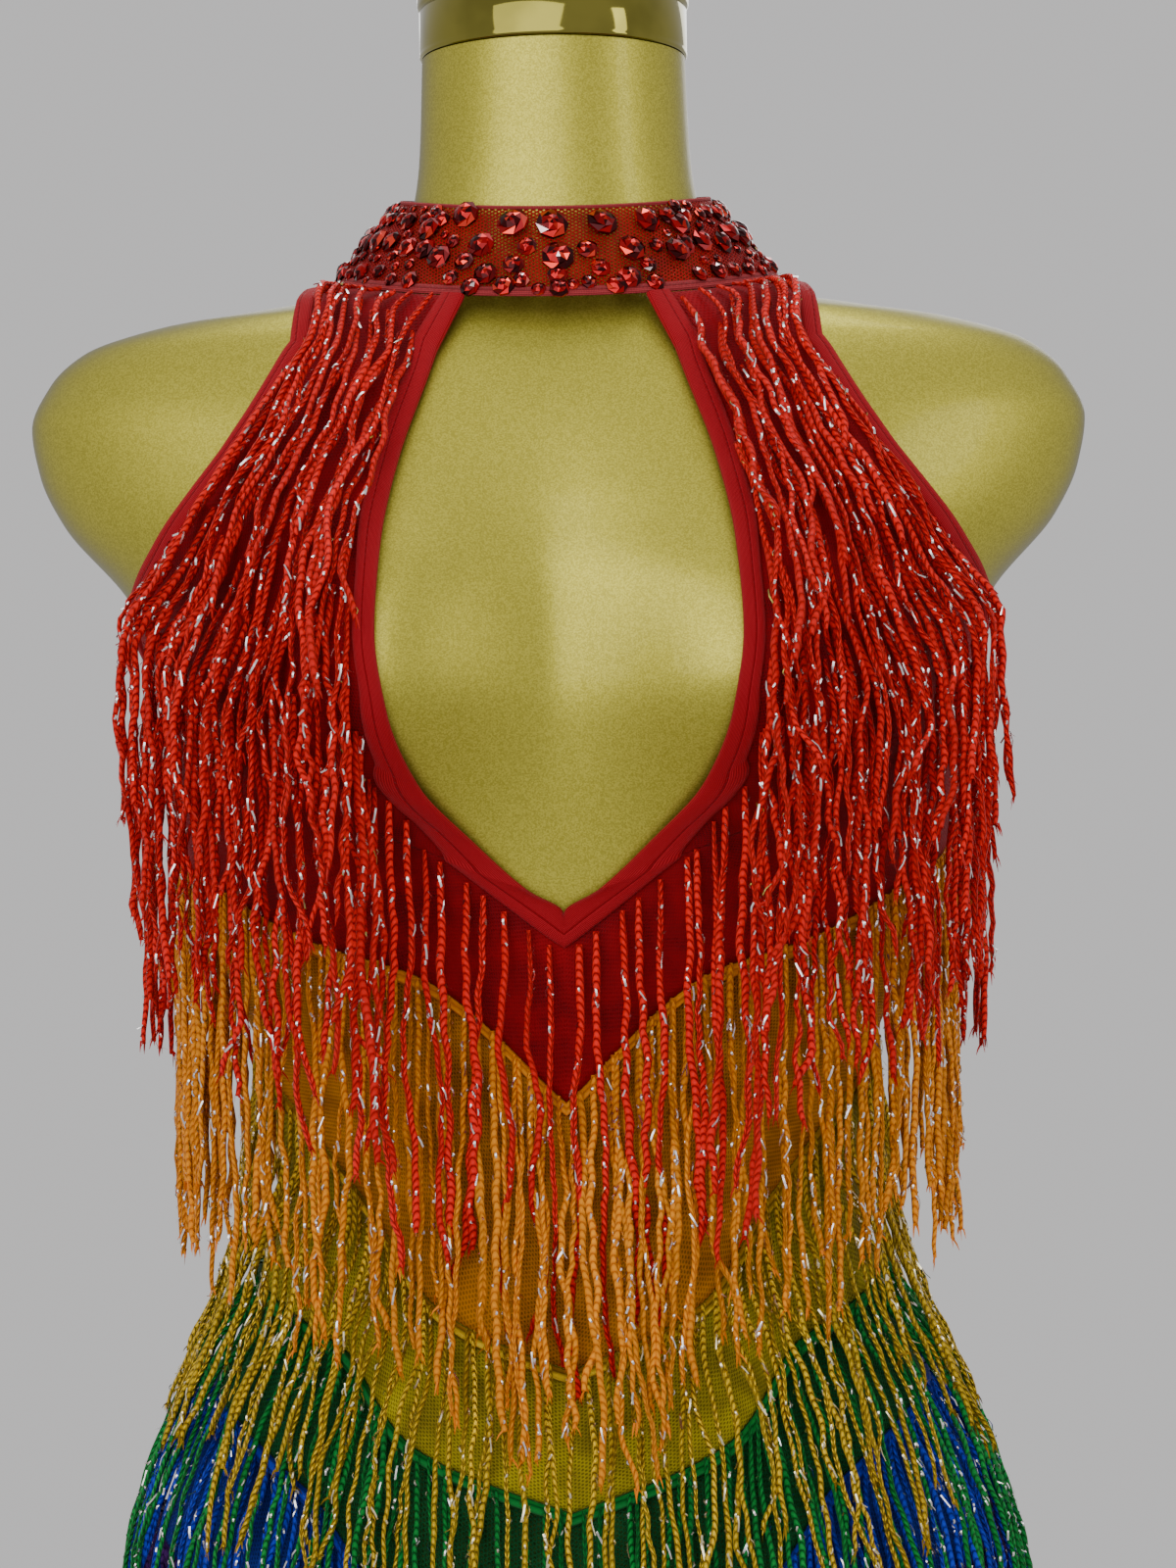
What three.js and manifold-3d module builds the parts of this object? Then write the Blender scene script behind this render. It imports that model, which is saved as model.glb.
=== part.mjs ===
// A halter-neck fringe bodysuit of stretch mesh, worn by a limbless dress form.
// Millimetres, +Z up, the wearer's front faces -Y. The form stands on its two thigh stubs at z = 0.
import * as THREE from 'three';
import { mergeVertices } from 'three/addons/utils/BufferGeometryUtils.js';
import Module from 'manifold-3d';

const wasm = await Module();
wasm.setup();

// ---------------------------------------------------------------------------------- driving sizes
const HIP_LEVEL = 160; // below this the trunk closes as a bowl
const BOWL_DROP = 53; // from the hip level down to the crotch
const NECK_TOP = 812;
const CAP_HEIGHT = 24;
const BODY_COLUMNS = 36; // divisions round the trunk
const BOWL_TURNS = 8; // divisions of the bowl, front to back

const CLOTH_GAP = 2.1; // from the form to the cloth
const CLOTH_THICKNESS = 1.2;
const CLOTH_OUT = CLOTH_GAP + CLOTH_THICKNESS;
const BUST_EASE = 1.9; // how much further the cloth stands off over the bust
const CROTCH_EASE = 1; // the same under the bowl
const LAID_ON_GAP = 0.8; // from a panel to what is sewn on it
const TRIM_GAP = CLOTH_OUT + LAID_ON_GAP; // from the form to what is sewn on
const TRIM_THICKNESS = 1.3;
const SEAM_GAP = 0.4; // from panel to panel, up and down
const SIDE_SEAM_GAP = 0.12; // from the side seam plane to a panel, in degrees
const BINDING_WIDTH = 8;
const LEG_BINDING_WIDTH = 6;

const FRINGE_LENGTH = 150;
const FRINGE_TAPE = 5; // height of the tape that the strands hang from
const LOCK_WIDTH = 8;
const LOCK_DEPTH = 2.2;
const LOCK_ROOT_DEPTH = 0.8; // inside the tape
const LOCK_STATIONS = [0, 0.3, 0.65, 1];
const LOCK_STEPS = 20;
const LOCK_ROOT = 0.4; // where in its tape's height a lock is rooted, from the lower edge
const NARROW_COLUMN = 6; // degrees; a narrower column of a tape holds no lock
const TAPE_COURSES = 0.24; // height of a halter's tape, in courses
const TAPE_INSET = 0.02; // share of a course that its inner end keeps off the binding
const BUST_COURSE = 5; // the locks of the halters hang free below this course
const KEYHOLE_TAPE_GAP = 1.5; // from the keyhole's binding to its tape
const FLOOR_CLEARANCE = 6;

const COLLAR = { columns: 38, rows: 4, stoneRise: 3.4 };

// Trunk sections, from the hips up: half width, depth to the front and to the back,
// and how square the section is (2 is an ellipse).
const TRUNK = [
  { z: 160, half: 158, front: 84, back: 110, square: 2.04 },
  { z: 190, half: 162, front: 88, back: 115, square: 2.04 },
  { z: 243, half: 158, front: 88, back: 112, square: 2.04 },
  { z: 276, half: 148, front: 86, back: 103, square: 2.06 },
  { z: 314, half: 131, front: 83, back: 91, square: 2.15 },
  { z: 345, half: 117, front: 81, back: 84, square: 2.15 },
  { z: 395, half: 106, front: 79, back: 79, square: 2.15 },
  { z: 430, half: 111, front: 80, back: 81, square: 2.15 },
  { z: 471, half: 127, front: 84, back: 87, square: 2.2 },
  { z: 502, half: 139, front: 88, back: 91, square: 2.2 },
  { z: 540, half: 147, front: 92, back: 95, square: 2.2 },
  { z: 574, half: 150, front: 94, back: 97, square: 2.2 },
  { z: 607, half: 163, front: 94, back: 97, square: 2.15 },
  { z: 637, half: 188, front: 89, back: 95, square: 2.05 },
  { z: 656, half: 197, front: 84, back: 92, square: 2 },
  { z: 674, half: 200, front: 78, back: 88, square: 2 },
  { z: 690, half: 193, front: 71, back: 82, square: 2 },
  { z: 702, half: 180, front: 65, back: 76, square: 2 },
  { z: 711, half: 152, front: 60, back: 70, square: 2 },
  { z: 716, half: 118, front: 57, back: 66, square: 2 },
  { z: 721, half: 86, front: 55, back: 62, square: 2 },
  { z: 729, half: 69, front: 52, back: 57, square: 2 },
  { z: 745, half: 57, front: 49, back: 51, square: 2 },
  { z: 775, half: 51.5, front: 48, back: 49, square: 2 },
  { z: 812, half: 50, front: 49, back: 49, square: 2 },
];
const BUST = { x: 72, z: 574, rise: 36, wide: 47, above: 66, below: 44 };
const THIGH = [
  { z: 0, x: 90, half: 58, depth: 66 },
  { z: 120, x: 93, half: 62, depth: 72 },
  { z: 166, x: 92, half: 56, depth: 68 },
];

// Chevron seams, from the bust down: height at points from the front centre (0 deg) to the side
// (90 deg), then at the centre of the back.
const SEAMS = [
  { at0: 423, at22: 469, at40: 481, at65: 502, at90: 514, back: 470 }, // red to orange
  { at0: 327, at22: 349, at40: 385, at65: 420, at90: 440, back: 385 }, // orange to yellow
  { at0: 277, at22: 299, at40: 333, at65: 347, at90: 356, back: 305 }, // yellow to green
  { at0: 230, at22: 244, at40: 283, at65: 305, at90: 314, back: 262 }, // green to blue
  { at0: 186, at22: 196, at40: 222, at65: 250, at90: 262, back: 215 }, // blue to purple
];
const CHEVRON_ANGLES = [0, 22, 40, 65, 90];
// The leg line leaves the hip level at this column of a panel, counted from its centre, and rises
// to `side`; the gusset between the legs is twice `gusset` wide.
const LEG_LINE = { column: 3, side: 208, gusset: 22 };

// Courses across one front half of the red top, from the chevron seam up to the shoulder.
const COURSES = [
  { innerX: 0, innerZ: 423, outerX: 999, outerZ: 514 },
  { innerX: 0, innerZ: 454, outerX: 999, outerZ: 540 },
  { innerX: 0, innerZ: 479, outerX: 999, outerZ: 565 },
  { innerX: 0, innerZ: 491, outerX: 999, outerZ: 582 },
  { innerX: 13, innerZ: 500, outerX: 999, outerZ: 592 },
  { innerX: 31, innerZ: 517, outerX: 158, outerZ: 604 },
  { innerX: 51, innerZ: 540, outerX: 154, outerZ: 614 },
  { innerX: 60.5, innerZ: 564, outerX: 145, outerZ: 627 },
  { innerX: 64, innerZ: 590, outerX: 132, outerZ: 643 },
  { innerX: 62, innerZ: 621, outerX: 118, outerZ: 661 },
  { innerX: 56, innerZ: 652, outerX: 106, outerZ: 680 },
  { innerX: 45.5, innerZ: 684, outerX: 96, outerZ: 697 },
];
// Above the last course the cloth lies over the shoulders for one course more, as far as a line
// that is `spread` times as wide as the collar's lower edge; then it rises to that edge. `inner`
// and `outer` are the angles round the collar at which it starts and ends, and `shoulder` is the
// angle at which its inner edge starts to rise.
const COLLAR_JOIN = { inner: 22.8, shoulder: 27.6, outer: 79, spread: 1.1, seam: 0.012 };
const APEX_COURSE = 3; // the keyhole's point lies on this course
const BACK_TOP = { side: 592, centre: 556 };

// Collar edge heights and reach at the front, the side and the back.
const COLLAR_EDGE = {
  lower: { front: 713, side: 728, back: 735, half: 84, depthFront: 70, depthBack: 68 },
  upper: { front: 748, side: 759, back: 766, half: 57.5, depthFront: 54, depthBack: 55 },
};

// One row for each chevron fringe: how far its strands come to stand off the trunk, and after
// what drop.
const CHEVRON_FRINGE = [
  { seam: 0, name: 'orange', out: 20.2, settle: 95 },
  { seam: 1, name: 'gold', out: 16.8, settle: 46 },
  { seam: 2, name: 'green', out: 13.2, settle: 36 },
  { seam: 3, name: 'blue', out: 9.6, settle: 34 },
  { seam: 4, name: 'purple', out: 6, settle: 34 },
];
// Rows of red strands on each halter, by the course they are sewn along.
const HALTER_FRINGE = [
  { name: 'collar', course: 11, first: 0, stride: 2, lockWidth: 7, out: 15, settle: 40 },
  { name: 'chest', course: 8, first: 0, stride: 1, lockWidth: 6.5, out: 10, settle: 40 },
  { name: 'bust', course: 6, first: 1, stride: 1, lockWidth: 8, out: 5.6, settle: 34 },
];
const KEYHOLE_FRINGE = { firstAngle: 0.8, courses: [4, 5], out: 9, settle: 30 };
const BACK_RED_FRINGE = { out: 14, settle: 60 };

const COLOURS = {
  form: { color: 0xa89a45, roughness: 0.3, metalness: 0.7 },
  cap: { color: 0xd9b74a, roughness: 0.12, metalness: 1 },
  red: { color: 0x8f0a12, roughness: 0.6, metalness: 0 },
  binding: { color: 0xa01024, roughness: 0.55, metalness: 0 },
  orange: { color: 0xb8720c, roughness: 0.6, metalness: 0 },
  yellow: { color: 0x9c8a12, roughness: 0.6, metalness: 0 },
  green: { color: 0x0b5a28, roughness: 0.6, metalness: 0 },
  blue: { color: 0x17328f, roughness: 0.6, metalness: 0 },
  purple: { color: 0x45196b, roughness: 0.6, metalness: 0 },
  strandRed: { color: 0xc21812, roughness: 0.45, metalness: 0 },
  strandOrange: { color: 0xd98020, roughness: 0.45, metalness: 0 },
  strandGold: { color: 0xb8961a, roughness: 0.4, metalness: 0.2 },
  strandGreen: { color: 0x128038, roughness: 0.45, metalness: 0 },
  strandBlue: { color: 0x1f3fb8, roughness: 0.45, metalness: 0 },
  strandPurple: { color: 0x5b2090, roughness: 0.45, metalness: 0 },
};

// ------------------------------------------------------------------------------------- small maths
const radians = (degrees) => THREE.MathUtils.degToRad(degrees);
const lerp = THREE.MathUtils.lerp;
const clamp = THREE.MathUtils.clamp;
const smooth = (t) => THREE.MathUtils.smoothstep(t, 0, 1);
const signedPower = (value, power) => Math.sign(value) * Math.abs(value) ** power;
const stationsBetween = (from, to, count) =>
  Array.from({ length: count + 1 }, (_, i) => lerp(from, to, i / count));
const wrapped = (angle) => (angle > 180 ? angle - 360 : angle);

// Monotone cubic curve through the column `key` of rows that ascend in `axis`.
function curveThrough(rows, axis, key) {
  const at = rows.map((row) => row[axis]);
  const value = rows.map((row) => row[key]);
  const slope = at.slice(1).map((a, i) => (value[i + 1] - value[i]) / (a - at[i]));
  const tangent = at.map((a, i) => {
    if (i === 0) return slope[0];
    if (i === at.length - 1) return slope[i - 1];
    if (slope[i - 1] * slope[i] <= 0) return 0;
    return (2 * slope[i - 1] * slope[i]) / (slope[i - 1] + slope[i]);
  });
  return (x) => {
    const place = clamp(x, at[0], at.at(-1));
    const i = clamp(at.findLastIndex((a) => a <= place), 0, at.length - 2);
    const step = at[i + 1] - at[i];
    const t = (place - at[i]) / step;
    const rise = value[i + 1] - value[i];
    const bend = tangent[i] * step - rise;
    const back = rise - tangent[i + 1] * step;
    return value[i] + t * rise + t * (1 - t) * ((1 - t) * bend + t * back);
  };
}

// ------------------------------------------------------------------------------------- the trunk
const trunk = Object.fromEntries(
  ['half', 'front', 'back', 'square'].map((key) => [key, curveThrough(TRUNK, 'z', key)]),
);

function bustRise(x, z) {
  const tall = z > BUST.z ? BUST.above : BUST.below;
  const beside = (Math.abs(x) - BUST.x) / BUST.wide;
  const along = (z - BUST.z) / tall;
  return BUST.rise * Math.exp(-beside * beside - along * along);
}

// Bare surface of the trunk: 0 degrees is the front centre, 90 the wearer's side at +X.
function trunkPoint(angle, z) {
  const power = 2 / trunk.square(z);
  const across = Math.sin(radians(angle));
  const ahead = Math.cos(radians(angle));
  const x = trunk.half(z) * signedPower(across, power);
  const depth = ahead > 0 ? trunk.front(z) : trunk.back(z);
  const y = -depth * signedPower(ahead, power);
  const bust = ahead > 0 ? bustRise(x, z) * smooth(ahead / 0.35) : 0;
  return new THREE.Vector3(x, y - bust, z);
}

function trunkNormal(angle, z) {
  const step = 0.4;
  const round = trunkPoint(angle + step, z).sub(trunkPoint(angle - step, z));
  const up = trunkPoint(angle, z + step * 2).sub(trunkPoint(angle, z - step * 2));
  return round.cross(up).normalize();
}

// The surface of a layer that stands `out` off the trunk, with its ease over the bust.
function onTrunk(angle, z, out) {
  const point = trunkPoint(angle, z);
  const overBust = Math.cos(radians(angle)) > 0 ? (3 * bustRise(point.x, z)) / BUST.rise : 0;
  return point.addScaledVector(trunkNormal(angle, z), out + BUST_EASE * Math.min(overBust, 1));
}

// Angle round the trunk at which its surface has the given x on the front side.
function angleAt(x, z) {
  const share = clamp(Math.abs(x) / trunk.half(z), 0, 1);
  const angle = THREE.MathUtils.radToDeg(Math.asin(share ** (trunk.square(z) / 2)));
  return Math.sign(x) * angle;
}

// The bowl under the hips: `turn` goes from 0 at the front to 180 at the back.
function bowlPoint(angle, turn, out) {
  const level = HIP_LEVEL;
  const power = 2 / trunk.square(level);
  const x = (trunk.half(level) + out) * signedPower(Math.sin(radians(angle)), power);
  const share = Math.abs(Math.cos(radians(angle))) ** power;
  const depth = (turn < 90 ? trunk.front(level) : trunk.back(level)) + out;
  const y = -depth * share * Math.cos(radians(turn));
  const z = level - (BOWL_DROP + out) * share * Math.sin(radians(turn));
  return new THREE.Vector3(x, y, z);
}

// A layer that stands `out` off the bowl; at the hip level it meets the same layer of the trunk.
function onBowl(angle, turn, out) {
  if (turn === 0) return onTrunk(angle, HIP_LEVEL, out);
  if (turn === 180) return onTrunk(180 - angle, HIP_LEVEL, out);
  return bowlPoint(angle, turn, out + CROTCH_EASE * Math.sin(radians(turn)));
}

// -------------------------------------------------------------------------- solids from surfaces
// A closed mesh from points and triangles, with shared vertices merged and faces outward.
function closedGeometry(points, triangles) {
  const geometry = new THREE.BufferGeometry();
  const numbers = points.flatMap((point) => point.toArray());
  geometry.setAttribute('position', new THREE.Float32BufferAttribute(numbers, 3));
  geometry.setIndex(triangles.flat());
  return mergeVertices(geometry, 1e-3);
}

// A sheet of cloth: grids of paired inner and outer points, closed round every open edge.
class Sheet {
  constructor() {
    this.inner = [];
    this.outer = [];
    this.triangles = [];
    this.known = new Map();
  }

  vertex(inner, outer) {
    const key = outer.toArray().map((value) => Math.round(value * 200)).join();
    if (!this.known.has(key)) {
      this.known.set(key, this.inner.length);
      this.inner.push(inner);
      this.outer.push(outer);
    }
    return this.known.get(key);
  }

  // `pair(i, j)` gives the inner and outer point; i runs to the right seen from outside, j up.
  // A mirrored grid splits its squares along the other diagonal.
  addGrid(columns, rows, pair, mirrored = false) {
    const index = [];
    for (let j = 0; j <= rows; j += 1) {
      index.push([]);
      for (let i = 0; i <= columns; i += 1) index[j].push(this.vertex(...pair(i, j)));
    }
    for (let j = 0; j < rows; j += 1) {
      for (let i = 0; i < columns; i += 1) {
        const corners = [index[j][i], index[j][i + 1], index[j + 1][i + 1], index[j + 1][i]];
        if (mirrored) corners.push(corners.shift());
        this.addFace(corners[0], corners[1], corners[2]);
        this.addFace(corners[0], corners[2], corners[3]);
      }
    }
    return this;
  }

  addFace(a, b, c) {
    if (a !== b && b !== c && c !== a) this.triangles.push([a, b, c]);
  }

  geometry() {
    const count = this.inner.length;
    const directed = new Set(
      this.triangles.flatMap(([a, b, c]) => [`${a}_${b}`, `${b}_${c}`, `${c}_${a}`]),
    );
    const faces = [];
    for (const [a, b, c] of this.triangles) {
      faces.push([a + count, b + count, c + count], [c, b, a]);
      for (const [from, to] of [[a, b], [b, c], [c, a]]) {
        if (directed.has(`${to}_${from}`)) continue;
        faces.push([from, to, to + count], [from, to + count, from + count]);
      }
    }
    return closedGeometry([...this.inner, ...this.outer], faces);
  }
}

// Rings of points joined into a closed tube, with a fan over each end.
function loftGeometry(rings) {
  const sides = rings[0].length;
  const faces = [];
  for (let j = 0; j < rings.length - 1; j += 1) {
    for (let i = 0; i < sides; i += 1) {
      const a = j * sides + i;
      const b = j * sides + ((i + 1) % sides);
      faces.push([a, b, b + sides], [a, b + sides, a + sides]);
    }
  }
  const top = (rings.length - 1) * sides;
  for (let i = 1; i < sides - 1; i += 1) {
    faces.push([0, i + 1, i], [top, top + i, top + i + 1]);
  }
  return closedGeometry(rings.flat(), faces);
}

function solidOf(geometry) {
  const mesh = new wasm.Mesh({
    numProp: 3,
    vertProperties: new Float32Array(geometry.attributes.position.array),
    triVerts: new Uint32Array(geometry.index.array),
  });
  return new wasm.Manifold(mesh);
}

function geometryOf(solid) {
  const mesh = solid.getMesh();
  const geometry = new THREE.BufferGeometry();
  geometry.setAttribute('position', new THREE.Float32BufferAttribute(mesh.vertProperties, 3));
  geometry.setIndex([...mesh.triVerts]);
  return geometry;
}

function fused(geometries) {
  return geometryOf(geometries.map(solidOf).reduce((whole, solid) => whole.add(solid)));
}

const part = new THREE.Group();

function addMesh(name, geometry, finish) {
  const mesh = new THREE.Mesh(geometry, new THREE.MeshStandardMaterial(COLOURS[finish]));
  mesh.name = name;
  part.add(mesh);
}

// ------------------------------------------------------------------------------------ dress form
// Ring heights, closer where the trunk curves most.
const TRUNK_LEVELS = [
  ...stationsBetween(HIP_LEVEL, 300, 5),
  ...stationsBetween(300, 420, 5).slice(1),
  ...stationsBetween(420, 560, 6).slice(1),
  ...stationsBetween(560, 690, 8).slice(1),
  ...[700, 708, 713, 718, 725, 736, 756, NECK_TOP],
];

function trunkGeometry() {
  const points = [];
  const faces = [];
  for (const z of TRUNK_LEVELS) {
    for (let i = 0; i < BODY_COLUMNS; i += 1) points.push(trunkPoint((i * 360) / BODY_COLUMNS, z));
  }
  const top = (TRUNK_LEVELS.length - 1) * BODY_COLUMNS;
  for (let ring = 0; ring < top; ring += BODY_COLUMNS) {
    for (let i = 0; i < BODY_COLUMNS; i += 1) {
      const a = ring + i;
      const b = ring + ((i + 1) % BODY_COLUMNS);
      faces.push([a, b, b + BODY_COLUMNS], [a, b + BODY_COLUMNS, a + BODY_COLUMNS]);
    }
  }
  for (let i = 1; i < BODY_COLUMNS - 1; i += 1) faces.push([top, top + i, top + i + 1]);
  addUnderside(points, faces);
  return closedGeometry(points, faces);
}

// The bowl's strips, each from the front to the back between two columns of the lowest ring.
function addUnderside(points, faces) {
  const turns = stationsBetween(0, 180, BOWL_TURNS);
  const quarter = BODY_COLUMNS / 4;
  const stripPoint = (column, turn) => {
    const angle = (column * 360) / BODY_COLUMNS;
    if (Math.abs(column) === quarter || turn === 0) return trunkPoint(angle, HIP_LEVEL);
    return turn === 180 ? trunkPoint(180 - angle, HIP_LEVEL) : bowlPoint(angle, turn, 0);
  };
  for (let column = -quarter; column < quarter; column += 1) {
    for (let k = 0; k < BOWL_TURNS; k += 1) {
      const corners = [[0, 0], [1, 0], [1, 1], [0, 1]].map(([c, t]) =>
        points.push(stripPoint(column + c, turns[k + t])) - 1);
      if (column > -quarter) faces.push([corners[0], corners[3], corners[2]]);
      if (column < quarter - 1) faces.push([corners[0], corners[2], corners[1]]);
      else faces.splice(-1, 1, [corners[0], corners[3], corners[2]]);
    }
  }
}

function thighGeometry(side) {
  const sides = 16;
  const rings = THIGH.map(({ z, x, half, depth }) =>
    Array.from({ length: sides }, (_, i) => {
      const angle = radians((i * 360) / sides - 90);
      return new THREE.Vector3(side * x + half * Math.cos(angle), depth * Math.sin(angle) + 6, z);
    }));
  return loftGeometry(rings);
}

function buildForm() {
  addMesh('form_torso', fused([trunkGeometry(), thighGeometry(1), thighGeometry(-1)]), 'form');

  const radius = trunk.half(NECK_TOP) + 0.8;
  const base = NECK_TOP + 0.3;
  const profile = [
    [0, base], [radius, base], [radius, base + CAP_HEIGHT - 5],
    [radius + 0.8, base + CAP_HEIGHT - 4], [radius + 0.8, base + CAP_HEIGHT - 1],
    [radius - 0.5, base + CAP_HEIGHT], [0, base + CAP_HEIGHT],
  ].map(([r, z]) => new THREE.Vector2(r, z));
  const cap = new THREE.LatheGeometry(profile, 24);
  cap.rotateX(Math.PI / 2);
  addMesh('form_neck_cap', closedLathe(cap), 'cap');
}

// A turned shape as one closed mesh, without the triangles that shrink to a line at its poles.
function closedLathe(lathe) {
  lathe.deleteAttribute('normal');
  lathe.deleteAttribute('uv');
  const merged = mergeVertices(lathe, 1e-3);
  const index = [...merged.index.array];
  const kept = [];
  for (let i = 0; i < index.length; i += 3) {
    const [a, b, c] = index.slice(i, i + 3);
    if (a !== b && b !== c && c !== a) kept.push(a, b, c);
  }
  merged.setIndex(kept);
  return merged;
}

// ------------------------------------------------------------------------------- chevron panels
const seamCurves = SEAMS.map((seam) => {
  const rows = CHEVRON_ANGLES.map((angle) => ({ angle, z: seam[`at${angle}`] }));
  return curveThrough(rows, 'angle', 'z');
});

// Height of a chevron seam round the trunk; behind the side seams it dips to the back centre.
function seamHeight(index, angle) {
  const away = Math.abs(angle);
  if (away <= 90) return seamCurves[index](away);
  const behind = (180 - away) / 90;
  return lerp(SEAMS[index].back, SEAMS[index].at90, Math.sin(behind * Math.PI * 0.5) ** 1.3);
}

const clothPair = (angle, z) => [onTrunk(angle, z, CLOTH_GAP), onTrunk(angle, z, CLOTH_OUT)];
const trimPair = (angle, z) =>
  [TRIM_GAP, TRIM_GAP + TRIM_THICKNESS].map((out) => onTrunk(angle, z, out));

const BACK_COLUMNS = 14;

// Column angles: in front those of the halters' lowest course, mirrored; behind, even ones.
function panelAngles(isFront) {
  if (!isFront) {
    const reach = 90 - SIDE_SEAM_GAP;
    return stationsBetween(180 - reach, 180 + reach, BACK_COLUMNS).map(wrapped);
  }
  const right = courseShares(0).map((share) => halterPlace(0, share).angle);
  return [...right.slice(1).map((angle) => -angle).reverse(), ...right];
}

// Heights up a panel: even steps, then the border that a tape or a binding is laid on.
function panelHeights(low, high, evenRows, border) {
  return [...stationsBetween(low, high - border, evenRows), high];
}

function panelGeometry(isFront, upper, lower, evenRows = 2, border = FRINGE_TAPE) {
  const angles = panelAngles(isFront);
  const sheet = new Sheet();
  sheet.addGrid(angles.length - 1, evenRows + 1, (i, j) => {
    const low = lower(angles[i]) + SEAM_GAP / 2;
    const high = upper(angles[i]) - SEAM_GAP / 2;
    return clothPair(angles[i], panelHeights(low, high, evenRows, border)[j]);
  });
  return sheet.geometry();
}

function buildChevronPanels() {
  const colours = ['orange', 'yellow', 'green', 'blue'];
  colours.forEach((colour, k) => {
    const upper = (angle) => seamHeight(k, angle);
    const lower = (angle) => seamHeight(k + 1, angle);
    addMesh(`front_${colour}`, panelGeometry(true, upper, lower), colour);
    addMesh(`back_${colour}`, panelGeometry(false, upper, lower), colour);
  });
}

// The lowest panels: over the hips down to the leg line, then between the legs.
function legLine(away, start) {
  if (away <= start) return HIP_LEVEL;
  const t = (away - start) / (90 - start);
  return lerp(HIP_LEVEL, LEG_LINE.side, Math.sin((t * Math.PI) / 2) ** 0.8);
}

const GUSSET_ROWS = BOWL_TURNS / 2;

// Angle of the panel's edge in the bowl, from the leg line's start to the gusset's half width.
function gussetReach(start, t) {
  const gussetAngle = angleAt(LEG_LINE.gusset, HIP_LEVEL);
  return lerp(gussetAngle, start, (1 - t) ** 1.6);
}

// Angles of a lowest panel's columns from its own centre line, negative to its left.
function columnsAway(isFront) {
  const angles = panelAngles(isFront);
  return isFront ? angles : angles.map((angle) => (angle > 0 ? angle - 180 : angle + 180));
}

function purpleSheet(isFront) {
  const away = columnsAway(isFront);
  const centre = (away.length - 1) / 2;
  const start = away[centre + LEG_LINE.column];
  const angles = panelAngles(isFront);
  const evenRows = isFront ? 2 : 3;
  const sheet = new Sheet();
  sheet.addGrid(away.length - 1, evenRows + 1, (i, j) => {
    const low = legLine(Math.abs(away[i]), start);
    const high = seamHeight(4, angles[i]) - SEAM_GAP / 2;
    return clothPair(angles[i], panelHeights(low, high, evenRows, FRINGE_TAPE)[j]);
  });
  const halfSeam = 0.2;
  const first = centre - LEG_LINE.column;
  sheet.addGrid(2 * LEG_LINE.column, GUSSET_ROWS, (i, j) => {
    const t = 1 - j / GUSSET_ROWS;
    const angle = ((isFront ? 1 : -1) * away[first + i] * gussetReach(start, t)) / start;
    const turn = isFront ? (90 - halfSeam) * t : 180 - (90 - halfSeam) * t;
    return [onBowl(angle, turn, CLOTH_GAP), onBowl(angle, turn, CLOTH_OUT)];
  });
  return sheet;
}

// Bound edge of one leg opening, laid on the lowest panels' own border.
function legBindingGeometry(side) {
  const sheet = new Sheet();
  for (const isFront of [true, false]) {
    const half = columnsAway(isFront).filter((away) => away >= 0);
    const angles = [...half.slice(LEG_LINE.column, -1), 90];
    const start = angles[0];
    const wing = angles.length - 1;
    const place = (away) => (isFront ? side * away : 180 - side * away);
    const flip = isFront === (side > 0);
    sheet.addGrid(wing, 1, (i, j) => {
      const away = angles[flip ? i : wing - i];
      return trimPair(place(away), legLine(away, start) + 0.3 + j * LEG_BINDING_WIDTH);
    });
    sheet.addGrid(1, GUSSET_ROWS, (i, j) => {
      const t = 1 - j / GUSSET_ROWS;
      const column = flip ? 1 - i : i;
      const reach = gussetReach(start, t);
      const inset = column * angleAt(LEG_BINDING_WIDTH, HIP_LEVEL);
      const turn = isFront ? 90 * t : 180 - 90 * t;
      if (t === 0) {
        return trimPair(place(start), HIP_LEVEL + 0.3 + column * LEG_BINDING_WIDTH);
      }
      return [TRIM_GAP, TRIM_GAP + TRIM_THICKNESS].map((out) =>
        onBowl(side * (reach - inset), turn, out));
    });
  }
  return sheet.geometry();
}

function buildLowestPanels() {
  addMesh('front_purple', purpleSheet(true).geometry(), 'purple');
  addMesh('back_purple', purpleSheet(false).geometry(), 'purple');
  addMesh('leg_binding_right', legBindingGeometry(1), 'purple');
  addMesh('leg_binding_left', legBindingGeometry(-1), 'purple');
}

// ------------------------------------------------------------------------------- the red halter
const courseIndex = COURSES.map((course, index) => ({ ...course, index }));
const courseCurves = Object.fromEntries(
  ['innerX', 'innerZ', 'outerZ'].map((key) => [key, curveThrough(courseIndex, 'index', key)]),
);
const outerAngles = COURSES.map(({ outerX, outerZ }, index) => {
  const angle = Math.min(angleAt(outerX, outerZ), 90 - SIDE_SEAM_GAP);
  return { index, angle };
});
const outerAngle = curveThrough(outerAngles, 'index', 'angle');

// Angle and height of the trunk's upper surface above or below a place in plan.
function shoulderPlace(x, y) {
  let [low, high] = [656, 745];
  for (let k = 0; k < 24; k += 1) {
    const z = (low + high) / 2;
    const beyond = (x / trunk.half(z)) ** 2 + (y / trunk.front(z)) ** 2 > 1;
    [low, high] = beyond ? [low, z] : [z, high];
  }
  const angle = Math.atan2(x / trunk.half(low), -y / trunk.front(low));
  return { angle: THREE.MathUtils.radToDeg(angle), z: low };
}

const LAST_COURSE = COURSES.length - 1;
const SHOULDER_COURSE = LAST_COURSE + 1;
const joinAngle = (share) => lerp(COLLAR_JOIN.inner, COLLAR_JOIN.outer, share);
const shoulderAngle = (share) => lerp(COLLAR_JOIN.shoulder, COLLAR_JOIN.outer, share);

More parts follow.
